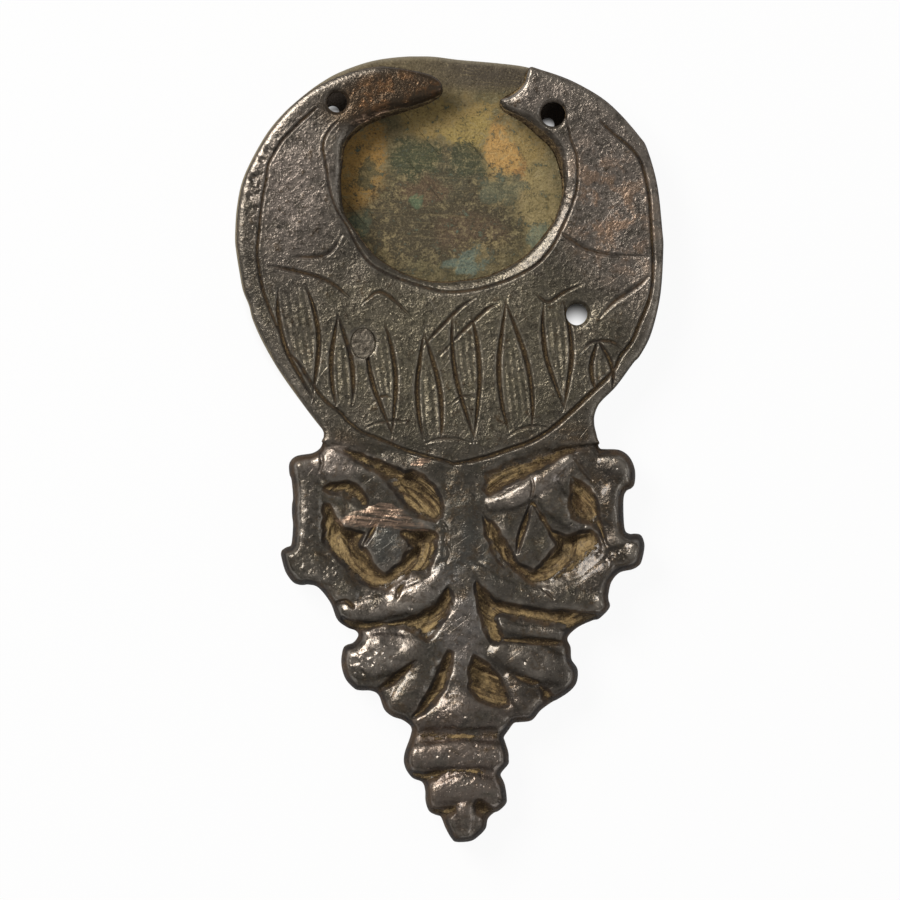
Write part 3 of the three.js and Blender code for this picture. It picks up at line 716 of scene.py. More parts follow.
# rise, then places with half widths
RIDGES = [
    # left leaf
    (0.3, [(-10.48, -1.06, 0.96), (-9.04, -1.38, 1.36), (-7.44, -2.02, 1.28)]),
    (0.2, [(-8.32, -1.38, 1.12), (-6.48, -2.5, 1.2), (-5.12, -3.62, 1.2), (-3.92, -5.22, 0.88)]),
    (0.26, [(-11.36, -2.02, 0.88), (-11.2, -4.1, 0.96), (-11.2, -7.7, 1.04)]),
    (0.32, [(-12.16, -9.06, 1.2), (-10.72, -9.7, 1.36), (-8.24, -11.46, 1.04)]),
    (0.45, [
        (-8.4, -13.06, 0.56), (-6.32, -12.82, 0.96), (-4.32, -12.42, 1.04), (-2.32, -11.78, 1.12),
        (-0.72, -10.5, 0.88), (0.08, -9.22, 0.4),
    ]),
    (0.12, [
        (-8.32, -6.02, 0.32), (-7.12, -5.62, 0.64), (-5.12, -5.22, 0.72), (-3.52, -5.7, 0.64),
        (-1.92, -6.02, 0.4),
    ]),
    # right leaf
    (0.42, [
        (3.44, -4.42, 0.56), (4.88, -4.1, 0.8), (6.24, -3.38, 0.8), (7.68, -2.34, 0.72), (9.6, -0.74, 0.4),
    ]),
    (0.3, [(7.92, -2.66, 0.64), (8.32, -4.1, 1.12), (9.84, -5.86, 0.72)]),
    (0.2, [(13.04, -1.22, 1.12), (13.04, -4.1, 0.72), (13.52, -7.3, 0.96)]),
    (0.12, [(14.48, -8.26, 0.96), (13.04, -9.54, 0.88), (11.28, -10.98, 0.88), (8.88, -12.02, 0.72)]),
    (0.26, [
        (2.32, -9.7, 0.48), (3.84, -11.06, 0.88), (6.08, -11.78, 0.8), (8.88, -12.1, 0.8),
        (11.92, -12.26, 0.72),
    ]),
    # lobes under the leaves
    (0.5, [(-7.36, -17.22, 1.28), (-5.52, -16.5, 1.76), (-3.12, -16.26, 1.28), (-1.52, -16.1, 0.64)]),
    (0.32, [(-4.08, -20.58, 0.88), (-3.12, -19.3, 1.04), (-1.52, -17.06, 0.72)]),
    (0.5, [(9.2, -17.86, 1.04), (6.88, -17.06, 1.52), (4.08, -16.42, 0.96)]),
    (0.32, [(6.32, -20.66, 0.88), (5.84, -19.62, 1.04), (5.04, -18.5, 0.64)]),
    (0.24, [(4.08, -14.26, 0.4), (6.08, -14.58, 0.48), (8.56, -14.82, 0.4)]),
    # stem, tiers and tip
    (0.12, [
        (0.88, -2.5, 1.04), (0.88, -8.9, 1.2), (0.96, -13.7, 1.12), (1.12, -16.5, 0.96),
        (1.12, -19.3, 0.72),
    ]),
    (0.36, [
        (-2.48, -22.02, 0.56), (-0.72, -21.38, 0.96), (1.12, -20.98, 1.44), (3.12, -21.46, 0.96),
        (4.56, -22.02, 0.48),
    ]),
    (0.46, [(-2.96, -24.66, 0.96), (0.64, -24.42, 1.2), (4.08, -24.58, 1.04)]),
    (0.46, [(-1.2, -27.7, 0.8), (1.36, -27.14, 1.2), (3.92, -27.54, 1.04)]),
    (0.34, [(1.28, -28.74, 0.72), (1.36, -29.7, 0.64), (1.36, -30.82, 0.48)]),
]
# place, radius, rise
KNOBS = [
    (-11.68, -1.22, 0.8, 0.22), (-12.32, -9.14, 1.12, 0.2), (13.52, -1.54, 1.04, 0.22),
    (14.8, -8.18, 0.88, 0.22), (12.08, -12.42, 0.72, 0.2),
]
# depth, then corners, each with the slope of the wall that starts there
HOLLOWS = [
    # between the head and the left leaf
    (1.1, [
        (-10.08, 0.62, 1.34), (-8.32, 0.18, 1.26), (-6.32, -0.54, 1.26), (-4.56, -1.18, 1.26),
        (-3.52, -1.62, 1.26), (-2.96, -2.18, 1.2), (-3.92, -3.22, 0.7), (-5.04, -2.82, 0.7),
        (-6.16, -2.02, 0.7), (-7.28, -1.38, 0.7), (-8.32, -0.74, 0.7), (-9.12, -0.1, 0.8),
        (-10.08, -0.02, 1.2),
    ]),
    (1.35, [
        (-4.24, -2.02, 1.31), (-3.52, -1.62, 1.29), (-2.88, -1.54, 1.2), (-1.92, -2.02, 1.1),
        (-0.96, -2.9, 1), (-0.4, -3.86, 1), (-0.24, -4.9, 1.1), (-0.48, -5.62, 1), (-1.04, -6.02, 0.8),
        (-2, -5.78, 0.7), (-2.8, -5.54, 0.6), (-3.52, -5.06, 0.6), (-4.08, -4.34, 0.65),
        (-4.72, -3.38, 0.7), (-5.2, -2.66, 1.2),
    ]),
    # between the head and the right leaf
    (1.1, [
        (12.08, 1.18, 0.6), (10.88, 1.02, 0.55), (8.88, 0.54, 0.5), (6.48, -0.18, 0.5), (4.08, -1.06, 0.5),
        (2.8, -1.86, 0.6), (2.4, -3.14, 1.2), (3.2, -3.94, 1.49), (4.88, -3.06, 1.49), (6.48, -2.34, 1.49),
        (8.08, -1.38, 1.49), (9.52, -0.5, 1.39), (10.88, -0.18, 1.31), (12.08, -0.1, 1.31),
    ]),
    # inside the left leaf
    (0.8, [
        (-10.32, -3.14, 1.34), (-9.52, -2.66, 1.31), (-8.32, -2.46, 1.29), (-7.36, -2.66, 1.2),
        (-6.8, -3.14, 1.1), (-6.48, -3.86, 1.1), (-6.24, -4.58, 0.9), (-6.72, -4.98, 0.6),
        (-7.36, -4.82, 0.55), (-7.92, -4.42, 0.55), (-8.72, -3.98, 0.6), (-9.52, -3.78, 0.8),
        (-10.16, -3.54, 1),
    ]),
    (1.3, [
        (-10.24, -4.26, 1.29), (-9.52, -4.34, 1.39), (-8.88, -5.46, 1.41), (-8.32, -6.18, 1.41),
        (-6.64, -6.58, 1.41), (-5.68, -6.5, 1.34), (-5.04, -5.94, 1.34), (-3.92, -6.5, 1.41),
        (-2, -6.26, 1.39), (-1.04, -6.58, 1.31), (-0.72, -7.14, 1.1), (-0.96, -8.34, 0.9),
        (-1.2, -9.54, 0.7), (-1.6, -10.26, 0.55), (-3.04, -10.5, 0.55), (-4, -11.06, 0.6),
        (-4.88, -11.54, 0.7), (-5.68, -11.46, 0.7), (-6.72, -11.22, 0.65), (-7.76, -10.5, 0.6),
        (-8.72, -9.54, 0.65), (-9.68, -8.42, 0.75), (-10.24, -7.46, 0.9),
    ]),
    # inside the right leaf
    (0.9, [
        (9.68, -2.1, 1.39), (10.48, -2.42, 1.34), (11.28, -2.98, 1.29), (12, -3.94, 1.2),
        (12.16, -5.06, 1.2), (12.32, -6.1, 1.29), (12.64, -7.14, 1.29), (12.8, -8.02, 1), (12.32, -7.78, 1),
        (11.92, -6.74, 0.9), (11.28, -6.34, 0.7), (10.32, -6.02, 0.6), (9.68, -5.62, 0.6),
        (9.36, -4.9, 0.7), (9.36, -4.1, 0.8), (9.6, -3.14, 1),
    ]),
    (1.3, [
        (2.56, -5.06, 1.34), (3.68, -4.98, 1.39), (4.48, -5.7, 1.39), (5.44, -5.3, 1.36),
        (6.4, -4.26, 1.34), (6.8, -4.1, 1.34), (7.68, -5.38, 1.39), (8.32, -6.5, 1.41), (9.36, -6.74, 1.41),
        (11.44, -6.34, 1.26), (12.08, -6.9, 0.9), (12.4, -7.94, 0.55), (12.32, -8.58, 0.45),
        (11.76, -9.3, 0.45), (10.88, -9.94, 0.45), (9.68, -10.58, 0.45), (8.56, -11.14, 0.5),
        (7.76, -11.3, 0.6), (6.96, -11.3, 0.7), (6.08, -10.82, 0.7), (5.04, -10.18, 0.75),
        (4.08, -9.46, 0.8), (3.28, -8.26, 1), (2.8, -6.98, 1.2),
    ]),
    # left and right of the stem
    (1.2, [
        (-8.72, -13.3, 1.59), (-7.52, -13.62, 1.59), (-6.32, -13.78, 1.59), (-4.96, -13.86, 1.49),
        (-3.76, -13.54, 1.44), (-2.32, -13.06, 1.36), (-1.28, -12.42, 1.29), (-0.64, -11.62, 1.26),
        (0, -10.5, 1), (0.56, -11.94, 0.7), (0.32, -13.22, 0.65), (-0.4, -14.26, 0.6), (-1.04, -15.06, 0.6),
        (-1.68, -15.78, 0.6), (-2.24, -15.46, 0.6), (-3.12, -14.82, 0.7), (-4.16, -14.42, 0.9),
        (-5.36, -14.26, 1.34), (-6.48, -14.58, 1.44), (-7.44, -14.9, 1.44), (-8.72, -14.34, 1.44),
    ]),
    (1.25, [
        (2, -10.02, 1.29), (2.8, -10.98, 1.34), (3.84, -12.02, 1.36), (5.68, -12.42, 1.36),
        (7.68, -12.74, 1.36), (10.08, -12.9, 1.36), (12.32, -12.98, 1.36), (13.2, -13.14, 1.31),
        (12.4, -14.02, 1), (10.88, -14.66, 0.8), (9.52, -14.98, 0.8), (8.88, -14.5, 0.7),
        (7.28, -14.18, 0.7), (5.28, -13.86, 0.7), (4.08, -13.62, 0.8), (4.4, -14.66, 0.9),
        (4.64, -15.62, 0.8), (3.84, -15.94, 0.7), (3.12, -15.62, 0.7), (2.56, -14.5, 0.9), (2.16, -12.9, 1),
        (1.92, -11.3, 1.1),
    ]),
    # between the lobes and the stem
    (0.95, [
        (-0.16, -16.02, 1.1), (0.56, -16.18, 1.1), (0.32, -17.7, 1), (-0.08, -19.3, 0.9),
        (-0.72, -20.18, 0.9), (-1.84, -21.3, 0.9), (-2.8, -21.86, 1), (-3.28, -21.54, 1.26),
        (-2.48, -20.58, 1.29), (-1.68, -19.22, 1.29), (-0.96, -17.54, 1.26),
    ]),
    (1.05, [
        (1.84, -16.34, 1.29), (2.56, -16.66, 1.34), (3.36, -17.14, 1.34), (4.32, -18.5, 1.31),
        (4.8, -19.7, 1.29), (4.88, -20.74, 0.8), (4.08, -20.9, 0.7), (2.88, -20.66, 0.7), (2, -20.1, 0.8),
        (1.44, -19.3, 0.9), (1.36, -17.86, 0.9),
    ]),
    (0.6, [
        (7.04, -18.82, 1.29), (7.92, -19.14, 1.2), (8.88, -20.1, 1.2), (8.24, -20.58, 1),
        (7.36, -20.1, 1.2),
    ]),
    # under the tiers
    (0.85, [
        (-3.6, -25.74, 1.54), (-1.52, -25.7, 1.54), (0.24, -25.62, 1.29), (-0.24, -26.1, 0.9),
        (-1.04, -26.58, 0.8), (-1.84, -27.14, 0.8), (-2.96, -26.9, 1.34),
    ]),
    (0.7, [
        (-1.84, -28.58, 1.49), (-0.72, -28.62, 1.49), (0.56, -28.58, 1.29), (0.72, -29.06, 0.9),
        (0.08, -29.62, 0.8), (-0.88, -29.78, 0.8), (-1.68, -29.46, 1.34),
    ]),
    (0.75, [
        (2, -27.94, 1.34), (2.64, -28.02, 1.34), (3.44, -28.58, 1.39), (4.56, -28.98, 1.39),
        (3.92, -29.46, 1), (3.12, -29.86, 0.8), (2.16, -29.54, 0.9), (1.84, -28.74, 0.9),
    ]),
]
# corners
LOZENGES = [
    [
        (-4.96, -5.62), (-4.16, -6.58), (-3.44, -7.78), (-4, -8.9), (-5.12, -9.86), (-5.76, -9.06),
        (-6.56, -7.7), (-6.96, -7.7), (-6.08, -6.1), (-5.52, -6.02),
    ],
    [
        (3.04, -5.22), (4.08, -5.22), (5.28, -5.14), (6.4, -4.34), (7.28, -5.86), (8.32, -7.7),
        (7.44, -8.82), (6.8, -9.54), (5.76, -9.06), (4.96, -7.7), (4.16, -6.34),
    ],
]
# height or depth, then places with half widths
RIBS = [
    (0.22, [
        (9.92, -2.66, 0.2), (10.72, -3.7, 0.24), (11.44, -4.9, 0.24), (11.92, -6.34, 0.24),
        (12.32, -7.54, 0.16),
    ]),
    (0.16, [(3.2, -6.5, 0.2), (4.08, -8.5, 0.26), (5.28, -10.02, 0.26), (6.96, -11.14, 0.16)]),
    (0.25, [(-3.6, -8.26, 0.2), (-2.32, -7.7, 0.24), (-1.04, -7.3, 0.2)]),
    (0.2, [(-4.32, -2.34, 0.2), (-2.96, -4.1, 0.24), (-1.36, -5.7, 0.16)]),
    (0.18, [(-1.52, -12.98, 0.16), (-2.08, -14.02, 0.2), (-2.64, -15.06, 0.16)]),
    (0.2, [(-9.2, -5.86, 0.2), (-8.24, -7.94, 0.24), (-6.16, -10.02, 0.16)]),
    (0.16, [(8.24, -10.34, 0.16), (9.84, -9.06, 0.24), (11.76, -7.7, 0.16)]),
]
CUTS = [
    (0.45, [(-5.84, -19.38, 0.24), (-4.72, -18.74, 0.36), (-3.76, -17.86, 0.32), (-2.64, -16.98, 0.16)]),
    (0.2, [(7.04, -18.74, 0.24), (6, -18.5, 0.24), (4.96, -18.02, 0.16)]),
    (0.34, [(-3.6, -22.9, 0.88), (-1.52, -22.9, 0.8), (1.68, -22.98, 0.72), (4.72, -22.9, 0.88)]),
    (0.4, [(4.32, -15.3, 0.16), (6.48, -15.42, 0.26), (8.88, -15.54, 0.24)]),
    (0.22, [(-10.24, -0.5, 0.2), (-10.16, -1.22, 0.2), (-10.4, -1.86, 0.16)]),
    (0.3, [(-8.96, -12.34, 0.2), (-8.24, -12.18, 0.2), (-7.68, -12.66, 0.2)]),
    (0.28, [(6.56, -2.26, 0.1), (6.72, -3.06, 0.11), (6.56, -3.86, 0.1)]),
    (0.22, [(7.44, -11.22, 0.1), (7.92, -11.54, 0.1), (8.4, -12.02, 0.1)]),
    (0.2, [(10.24, -0.82, 0.2), (10.72, -1.7, 0.24), (11.44, -2.5, 0.16)]),
    (0.3, [(-3.6, -10.74, 0.16), (-4, -11.3, 0.24), (-4.16, -11.86, 0.2)]),
    (0.16, [
        (-0.72, -5.7, 0.16), (-0.16, -6.58, 0.19), (-0.4, -7.38, 0.16), (0.08, -8.26, 0.18),
        (-0.16, -9.06, 0.16),
    ]),
    (0.3, [(3.92, -28.1, 0.12), (4.32, -28.34, 0.16), (4.72, -28.42, 0.16)]),
    (0.14, [(0.24, -16.5, 0.08), (0, -17.86, 0.11), (-0.4, -19.3, 0.08)]),
    (0.45, [(6.56, -4.34, 0.12), (6.16, -5.7, 0.32), (5.68, -7.14, 0.32), (5.44, -8.34, 0.16)]),
    (0.3, [(-5.76, -5.86, 0.12), (-6.24, -6.74, 0.24), (-6.8, -7.7, 0.16)]),
]
BORDERS = [
    # outer border
    (0.2, [
        (-10.64, 27.26, 0.14), (-11.28, 26.7, 0.18), (-11.92, 26.14, 0.18), (-12.72, 25.34, 0.18),
        (-13.52, 24.46, 0.18), (-14.08, 23.5, 0.18), (-14.48, 22.7, 0.18), (-14.64, 21.5, 0.18),
        (-14.88, 20.3, 0.18), (-15.04, 19.1, 0.18), (-15.2, 17.5, 0.2), (-15.36, 15.9, 0.2),
        (-15.28, 14.94, 0.21), (-15.12, 13.9, 0.21), (-14.88, 12.7, 0.2), (-14.48, 11.5, 0.2),
        (-14.08, 10.54, 0.18), (-13.68, 9.66, 0.18), (-13.28, 8.7, 0.18), (-12.88, 7.74, 0.18),
        (-11.92, 6.7, 0.2), (-11.28, 5.66, 0.2), (-10.72, 4.86, 0.21), (-10.16, 4.14, 0.21),
        (-9.52, 3.5, 0.21), (-8.72, 2.94, 0.21), (-8.16, 2.3, 0.21), (-7.52, 1.74, 0.21),
        (-6.96, 1.34, 0.21), (-5.36, 0.7, 0.21), (-3.52, -0.1, 0.22), (-1.92, -0.58, 0.22),
        (-0.32, -0.98, 0.21), (0.32, -1.22, 0.16),
    ]),
    (0.25, [
        (0.32, -1.22, 0.16), (1.68, -0.98, 0.25), (3.28, -0.58, 0.26), (4.88, -0.02, 0.26),
        (6.48, 0.54, 0.26), (8.08, 1.5, 0.26), (9.68, 2.86, 0.26), (11.28, 4.38, 0.26), (12.72, 5.74, 0.25),
        (13.28, 6.46, 0.23), (13.68, 7.34, 0.23), (14.64, 8.62, 0.23), (15.28, 10.14, 0.23),
        (15.92, 11.66, 0.22), (16.24, 13.1, 0.21), (16.32, 15.1, 0.21), (16.24, 16.7, 0.21),
        (16.12, 18.7, 0.21), (16, 20.3, 0.21), (15.68, 21.9, 0.21), (15.28, 23.1, 0.21),
        (14.48, 24.14, 0.2), (13.12, 25.26, 0.18), (12.08, 26.22, 0.14),
    ]),
    # inner border
    (0.17, [
        (-8.96, 26.14, 0.12), (-9.68, 25.34, 0.15), (-10.08, 24.3, 0.16), (-9.84, 22.7, 0.16),
        (-9.52, 20.7, 0.16), (-8.96, 19.1, 0.16), (-8.08, 17.74, 0.16), (-7.36, 16.3, 0.16),
        (-6.32, 14.86, 0.17), (-4.72, 13.9, 0.17), (-2.72, 13.18, 0.18), (-1.12, 12.7, 0.18),
        (0.08, 12.54, 0.18), (1.68, 12.66, 0.18), (3.28, 13.02, 0.18), (5.28, 13.74, 0.18),
        (7.04, 14.78, 0.18), (8.24, 16.14, 0.18), (9.04, 17.66, 0.17), (9.84, 19.5, 0.16),
        (10.24, 21.1, 0.16), (10.24, 23.34, 0.16), (9.76, 24.7, 0.15), (9.44, 26.14, 0.14),
        (9.12, 27.42, 0.12),
    ]),
    # plain arcs beside the window
    (0.15, [
        (-12.72, 15.26, 0.12), (-11.92, 15.34, 0.23), (-10.96, 15.34, 0.26), (-9.92, 15.5, 0.26),
        (-9.2, 16.06, 0.23), (-8.56, 17.1, 0.12),
    ]),
    (0.16, [
        (8.8, 17.42, 0.12), (9.68, 16.78, 0.25), (10.48, 16.22, 0.29), (11.44, 15.82, 0.26),
        (12.88, 15.5, 0.23), (14.48, 15.42, 0.18), (15.92, 15.34, 0.12),
    ]),
    (0.17, [
        (12.08, 10.46, 0.12), (12.56, 11.1, 0.23), (13.28, 11.82, 0.3), (14.24, 12.46, 0.32),
        (15.28, 13.18, 0.28), (15.92, 13.74, 0.16),
    ]),
    # strokes at the foot
    (0.12, [(-6.64, 1.66, 0.09), (-5.68, 2.06, 0.18), (-4.56, 2.22, 0.21), (-3.52, 2.14, 0.12)]),
    (0.12, [(-2, 0.38, 0.09), (-0.88, 0.78, 0.21), (0.48, 0.78, 0.18), (1.68, 0.46, 0.12)]),
    (0.12, [(4.64, 0.86, 0.09), (5.52, 1.5, 0.18), (6.8, 1.82, 0.18), (7.92, 1.66, 0.12)]),
]
CHEVRONS = [
    (0.2, [
        (-14.48, 14.62, 0.08), (-12.72, 14.3, 0.24), (-10.72, 13.82, 0.24), (-9.28, 13.18, 0.22),
        (-7.76, 11.9, 0.08),
    ]),
    (0.18, [(-6.96, 11.58, 0.08), (-5.68, 12.54, 0.21), (-4.4, 11.9, 0.21), (-2.96, 10.46, 0.08)]),
    (0.18, [(-2.48, 7.74, 0.08), (-0.72, 9.66, 0.21), (1.04, 11.42, 0.21), (2.16, 12.06, 0.08)]),
    (0.18, [(-0.72, 7.42, 0.08), (0.72, 9.02, 0.21), (2.96, 11.1, 0.21), (3.92, 11.58, 0.08)]),
    (0.18, [(6.8, 12.54, 0.08), (7.92, 11.74, 0.21), (9.2, 12.54, 0.21), (10.8, 13.18, 0.08)]),
    (0.18, [(10.48, 7.58, 0.08), (11.44, 8.54, 0.21), (13.04, 8.54, 0.21), (14, 7.9, 0.08)]),
    (0.16, [(-6.16, 3.58, 0.08), (-5.36, 4.22, 0.18), (-4.56, 4.06, 0.08)]),
    (0.16, [(0.24, 3.58, 0.08), (1.04, 4.22, 0.18), (2, 4.06, 0.08)]),
]
# foot x and y, tip x and y, half width, flutes
LANCETS = [
    (-12.56, 12.7, -10.96, 4.22, 1.52, 4), (-8.4, 3.74, -8.88, 10.62, 0.88, 2),
    (-5.84, 9.66, -4.56, 1.34, 1.04, 3), (-1.36, 1.02, -2, 9.18, 0.96, 2), (1.04, 10.46, 2, 1.02, 1.04, 3),
    (5.68, 1.82, 4.56, 11.58, 1.28, 4), (8.4, 11.42, 9.2, 3.42, 1.12, 3), (12.4, 4.86, 11.92, 8.7, 0.88, 2),
]
# broad bevels along the window: depth, then places with half widths
BEVELS = [
    # under the left horn
    (0.75, [
        (-0.32, 28.7, 0.16), (-1.36, 27.82, 0.64), (-3.12, 27.1, 0.88), (-5.12, 26.54, 0.96),
        (-6.96, 25.58, 0.96), (-8.16, 24.54, 0.72), (-8.64, 23.1, 0.32),
    ]),
    # under the right horn
    (0.95, [
        (4.08, 27.82, 0.24), (4.32, 26.94, 0.64), (5.12, 26.46, 0.8), (6, 25.98, 0.88), (6.8, 25.26, 0.96),
        (7.68, 24.54, 0.96), (8.4, 23.66, 0.88), (8.8, 22.46, 0.72), (9.04, 21.02, 0.48),
        (9.04, 19.9, 0.24),
    ]),
    # the broken end of the right horn
    (0.5, [(6.4, 30.62, 0.16), (5.92, 29.34, 0.32), (5.04, 28.46, 0.4), (4.32, 28.06, 0.24)]),
    # the window's edge
    (0.34, [
        (-8.64, 23.1, 0.4), (-8.64, 21.1, 0.64), (-8.08, 18.46, 0.8), (-6.56, 16.22, 0.88),
        (-4.56, 14.54, 0.96), (-1.52, 13.42, 1.04), (1.68, 13.58, 1.12), (4.88, 14.7, 1.12),
        (7.28, 16.78, 1.12), (8.56, 18.78, 1.04), (9.04, 20.7, 0.72), (8.96, 21.82, 0.32),
    ]),
]
# place, radius, depth
DEEP_PITS = [
    (-15.68, 21.66, 0.4, 0.2), (-14.96, 23.1, 0.32, 0.16), (-15.92, 20.22, 0.27, 0.14),
    (-14.48, 23.9, 0.37, 0.15), (-15.36, 19.26, 0.21, 0.12), (-7.44, -17.06, 0.4, 0.15),
    (-6.64, -16.66, 0.32, 0.13), (-6, -16.26, 0.27, 0.11), (-7.76, -17.78, 0.37, 0.13),
    (-6.24, -17.22, 0.24, 0.1), (-5.2, -17.54, 0.27, 0.1), (-5.44, -16.26, 0.21, 0.1),
    (-6.96, -17.94, 0.26, 0.11), (-4.72, -16.9, 0.21, 0.08), (-3.04, -12.74, 0.21, 0.1),
    (-3.44, -13.22, 0.18, 0.08), (1.2, -21.38, 0.21, 0.1), (-0.88, -21.38, 0.18, 0.08),
    (0.32, -22.34, 0.16, 0.07), (2.08, -23.78, 0.16, 0.1), (0, -24.1, 0.14, 0.08),
    (-1.04, -24.58, 0.18, 0.07), (-0.08, -24.5, 0.19, 0.07), (2.24, -24.42, 0.18, 0.07),
    (1.36, -26.74, 0.14, 0.07), (2.64, -26.98, 0.19, 0.07), (6, -17.06, 0.21, 0.1),
    (9.84, -6.02, 0.19, 0.08), (10.32, -5.78, 0.16, 0.07), (10.8, -6.18, 0.18, 0.07),
    (13.36, -1.54, 0.16, 0.06), (14.4, -2.02, 0.16, 0.07),
]
# middle, half width and half height of the places where the casting is rough
PITTED = [
    (-15.4, 20.8, 1.3, 3),
    (-10.6, -9.8, 3, 1.8),
    (-11, -5.8, 1, 2.6),
    (-6.4, -17, 2.6, 1.8),
    (0.2, -21.8, 3, 1.2),
    (10.5, -6, 1.4, 1),
    (2, -25.6, 3.4, 1.8),
    (13.5, -8.5, 1.6, 1.2),
    (-0.7, -7.4, 0.9, 2.4),
]
# where the tendril and the head's edge are scraped to bare copper
SCRAPED = [
    (1, [(-9, -6, 0.5), (-7.1, -5.6, 0.9), (-5.6, -5.3, 1.1), (-4, -5.6, 1), (-2, -6.4, 0.5)]),
    (1, [(-3, -1.2, 0.2), (-2.3, -1.1, 0.35), (-1.5, -0.9, 0.2)]),
    (0.7, [(-8.5, 25.6, 0.2), (-6.9, 26.4, 0.4), (-4.8, 27.1, 0.3)]),
]

plan = Relief(*FRONT_PLAN)
head_line = curved(HEAD_OUTLINE)
leaf_line = curved(LEAF_OUTLINE)
holes = [*STRAP_HOLES, RIVET_HOLE, LOST_RIVET_HOLE]
seat = np.hypot((plan.across - RIVET_HOLE[0]) / RIVET_SEAT[0], (plan.up - RIVET_HOLE[1]) / RIVET_SEAT[1])
front = sheet_metal("front_plate_casting", head_line, holes, PLATE_LOW, PLATE_TOP)
leaf = sheet_metal("leaf", leaf_line, [], 0, PLATE_TOP)
choose(front, leaf)
bpy.ops.object.join()
clay(front, FRONT_CELL)

# the leaf's raised forms, and its hollows with what was left standing in them
raised = plan.layer()
for rise, line in RIDGES:
    plan.stroke(raised, rise, line, domed=True)
for x, y, radius, rise in KNOBS:
    plan.knob(raised, x, y, radius, rise + KNOB_LIFT)
raised = plan.soft(raised, (1, 2, 3))
carved = plan.layer()
for depth, corners in HOLLOWS:
    part, walls = plan.hollow(depth, corners)
    carved[part] = np.maximum(carved[part], walls)
for corners in LOZENGES:
    part, form = plan.standing(DEEPEST, LOZENGE_SLOPE, corners)
    carved[part] = np.minimum(carved[part], DEEPEST - form)
ribs = plan.layer()
for rise, line in RIBS:
    plan.stroke(ribs, rise, line)
carved = np.maximum(carved - ribs * smoothstep(carved, 0.05, 0.4), 0)
for depth, line in CUTS:
    plan.stroke(carved, depth, line)
# the gouge left long marks in the hollows, which go round the middle of each leaf
aside, below = np.abs(plan.across - STEM_X) - LEAF_MIDDLE[0], LEAF_MIDDLE[1] - plan.up
away, bearing = np.hypot(aside, below), np.arctan2(aside, below)
gouged = grain(31, away / 0.17 + 30, bearing * 2.4 + 30)
gouged = gouged + 0.8 * grain(32, away / 0.42 + 30, bearing * 1.6 + 30)
carved = plan.soft(carved, (1, 2)) + GOUGE_MARK * smoothstep(carved, 0.15, 0.5) * gouged

# the rounded edges: broad on the leaf, narrow on the head, its window and its holes
in_head = plan.inside(head_line)
lowest = 1 - smoothstep(plan.up, NECK_Y - 0.9, NECK_Y + 0.2)
inwards = np.maximum(plan.rim(leaf_line, LEAF_EDGE), plan.rim(head_line, HEAD_EDGE))
edges = (1 - dome(inwards)) * (HEAD_EDGE_DROP + LEAF_EDGE_MORE * lowest)
for x, y, radius in holes:
    from_hole = np.hypot(plan.across - x, plan.up - y) - radius
    edges = np.maximum(edges, HOLE_EDGE_DROP * np.clip(1 - from_hole / HOLE_EDGE, 0, 1))

# the engraving of the head
engraved, fluted, bevelled = plan.layer(), plan.layer(), plan.layer()
for depth, line in BEVELS:
    plan.stroke(bevelled, depth, line)
for depth, line in BORDERS + CHEVRONS:
    plan.stroke(engraved, depth, line)
for x0, y0, x1, y1, half, flutes in LANCETS:
    foot, tip = np.array([x0, y0]), np.array([x1, y1])
    out = np.array([y0 - y1, x1 - x0]) / np.hypot(x1 - x0, y1 - y0)
    for bulge in (-1, 1):
        side = [(*(foot + (tip - foot) * t + out * bulge * half * s), w) for t, s, w in LANCET_SIDE]
        plan.stroke(engraved, LANCET_DEPTH, side)
    for k in range(flutes):
        share = (2 * k + 1) / flutes - 1
        start = foot + (tip - foot) * 0.04 * (k % 3) + out * half * share * 0.8
        end = foot + (tip - foot) * (0.84 - 0.3 * share ** 2) + out * half * share * 0.5
        middle = (start + end) / 2 + out * half * 0.12 * share
        plan.stroke(fluted, FLUTE_DEPTH, [(*start, 0.14), (*middle, 0.28), (*end, 0.08)])
# each cut threw up a low burr along its sides
engraved -= np.maximum(plan.soft(engraved, (1, 2, 3)) - engraved, 0)
engraved += plan.soft(fluted, (1, 2)) * (1 - smoothstep(engraved, 0.02, 0.1))

# pits and the slow waves of a cast and polished face
pits = plan.layer()
for x, y, radius, depth in DEEP_PITS:
    plan.pit(pits, x, y, radius, depth, seed=7)
chance = np.random.default_rng(23)
skin = plan.hills(34, 0.24, 90)
skin = np.maximum(skin - 0.1, 0) + 0.3 * grain(35, plan.across / 0.11 + 180, plan.up / 0.11 + 300)
for x, y, wide, high in PITTED:
    for _ in range(PITS_TOGETHER):
        u, v = chance.normal(0, 0.5, 2)
        radius, depth = chance.uniform(0.06, 0.16), chance.uniform(0.03, 0.07)
        plan.pit(pits, x + u * wide, y + v * high, radius, depth, seed=9)
    away = np.hypot((plan.across - x) / wide, (plan.up - y) / high)
    pits += 0.06 * (1 - smoothstep(away, 0.3, 1.3)) * skin
plan.strewn(pits, chance, PITS_STREWN, ((-17, 17), (-31, 31)), (0.05, 0.13), (0.02, 0.05), seed=9)
waves = plan.layer()
for size, depth, seed in WAVES:
    waves += depth * plan.hills(seed, size, 90)
waves *= (1 + 1.4 * lowest) * smoothstep(seat, 0.95, 1.8)
for size, depth, seed in LEAF_WAVES:
    waves += depth * lowest * plan.hills(seed, size, 90)
bevelled *= in_head
seated = RIVET_SEAT_DEPTH * (1 - smoothstep(seat, 0.93, 1.04))

